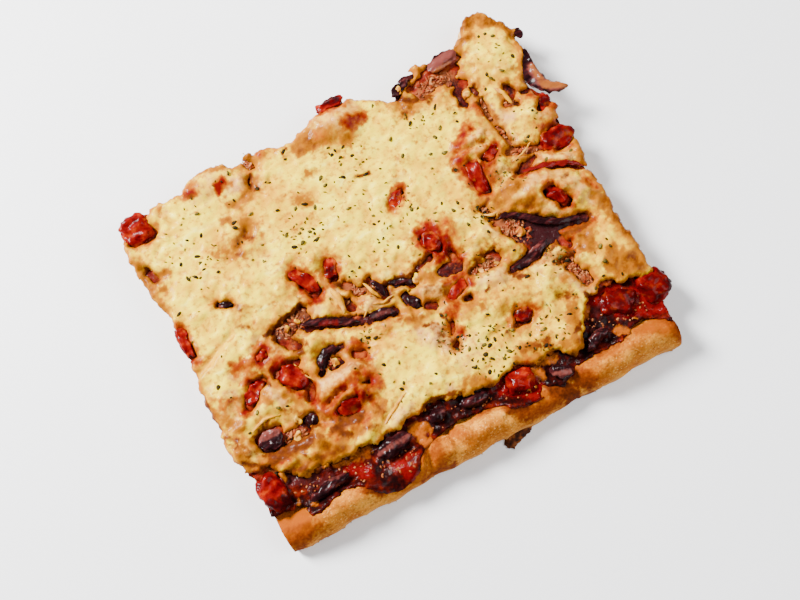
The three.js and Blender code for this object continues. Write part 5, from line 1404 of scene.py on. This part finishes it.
dark_herb = dried_herb("dried_basil", [(0.35, "#130E05"), (0.55, "#271C0A"), (0.7, "#443A16")])
olive_herb = dried_herb("dried_oregano", [(0.35, "#3A300E"), (0.55, "#574A1A"), (0.7, "#7C6C2C")])
for name, flakes, material, seed in (
    ("dark_herbs", DARK_FLAKES, dark_herb, 3), ("olive_herbs", OLIVE_FLAKES, olive_herb, 4)
):
    rng = random.Random(seed)
    leaves = bmesh.new()
    for x, y, length, turn in flakes:
        wide = rng.uniform(0.5, 0.8) * min(length, 2.4)
        add_flake(leaves, x, y, lie_on(x, y), length, math.radians(turn), wide)
    for x, y, spread, count in STREWN:
        for _ in range(round(STREWN_SHARE * count)):
            angle, reach = rng.uniform(0, 2 * math.pi), spread * math.sqrt(rng.random())
            spot = (x + reach * math.cos(angle), y + reach * math.sin(angle))
            if cheese_depth(np.array([spot]))[0] > 0.8:
                length, turn, wide = rng.uniform(0.8, 1.7), rng.uniform(0, math.pi), rng.uniform(0.45, 0.9)
                add_flake(leaves, *spot, lie_on(*spot), length, turn, wide)
    finish(leaves, name, material, ["cheese"])

# %% [markdown]
# ## Floor, light and camera
# A pale floor and broad soft lights, as by a window on an overcast day. The camera looks down steeply, from
# the side of the crust. Its lens is given in pixels of the picture, so a millimetre on the slice spans as
# many pixels here as it does there.

# %% Floor and lights
def pale_floor():
    """A smooth painted board: off-white and matt, with the faint clouds that a brush leaves."""
    material, tree, shader, where = new_material("painted_board", Roughness=0.6)
    pale = add(tree, "ValToRGB", {"Fac": speckle(tree, where, 200, 2)},
               stops=[(0.3, "#F2F2F3"), (0.7, "#F6F6F7")])
    tree.links.new(pale.outputs["Color"], shader.inputs["Base Color"])
    return material


board = bmesh.new()
bmesh.ops.create_grid(board, x_segments=4, y_segments=4, size=2)
board_mesh = bpy.data.meshes.new("floor")
board.to_mesh(board_mesh)
board.free()
board_mesh.materials.append(pale_floor())
floor = bpy.data.objects.new("floor", board_mesh)
bpy.context.scene.collection.objects.link(floor)


def soft_light(name, place, size, power):
    """A square light of size metres at a place in metres, turned to the slice."""
    data = bpy.data.lights.new(name, "AREA")
    data.size, data.energy = size, power
    light = bpy.data.objects.new(name, data)
    light.location = place
    light.rotation_euler = (-Vector(place)).to_track_quat("-Z", "Y").to_euler()
    bpy.context.scene.collection.objects.link(light)


soft_light("window", (-0.6, 0.85, 0.85), 0.45, 90)
soft_light("ceiling", (0.75, -0.35, 0.9), 0.8, 15)
world = bpy.data.worlds.new("room")
world.use_nodes = True
world.node_tree.nodes["Background"].inputs["Color"].default_value = linear("#F6F7FA")
world.node_tree.nodes["Background"].inputs["Strength"].default_value = 0.27
bpy.context.scene.world = world

# %% Camera
TURN, TILT, DISTANCE = math.radians(-29.3), math.radians(79), 0.48
AIM = Vector((0, 0, 0.015))
PIXELS_WIDE, FOCAL_PIXELS, AIM_RAISED = 800, 1074, 10
back = Vector((math.sin(TURN) * math.cos(TILT), -math.cos(TURN) * math.cos(TILT), math.sin(TILT)))
camera_data = bpy.data.cameras.new("camera")
camera_data.sensor_width = 36
camera_data.lens = 36 * FOCAL_PIXELS / PIXELS_WIDE
camera_data.shift_y = -AIM_RAISED / PIXELS_WIDE
camera = bpy.data.objects.new("camera", camera_data)
camera.location = AIM + DISTANCE * back
camera.rotation_euler = (-back).to_track_quat("-Z", "Y").to_euler()
bpy.context.scene.collection.objects.link(camera)
bpy.context.scene.camera = camera
print("camera at", [round(c, 4) for c in camera.location])
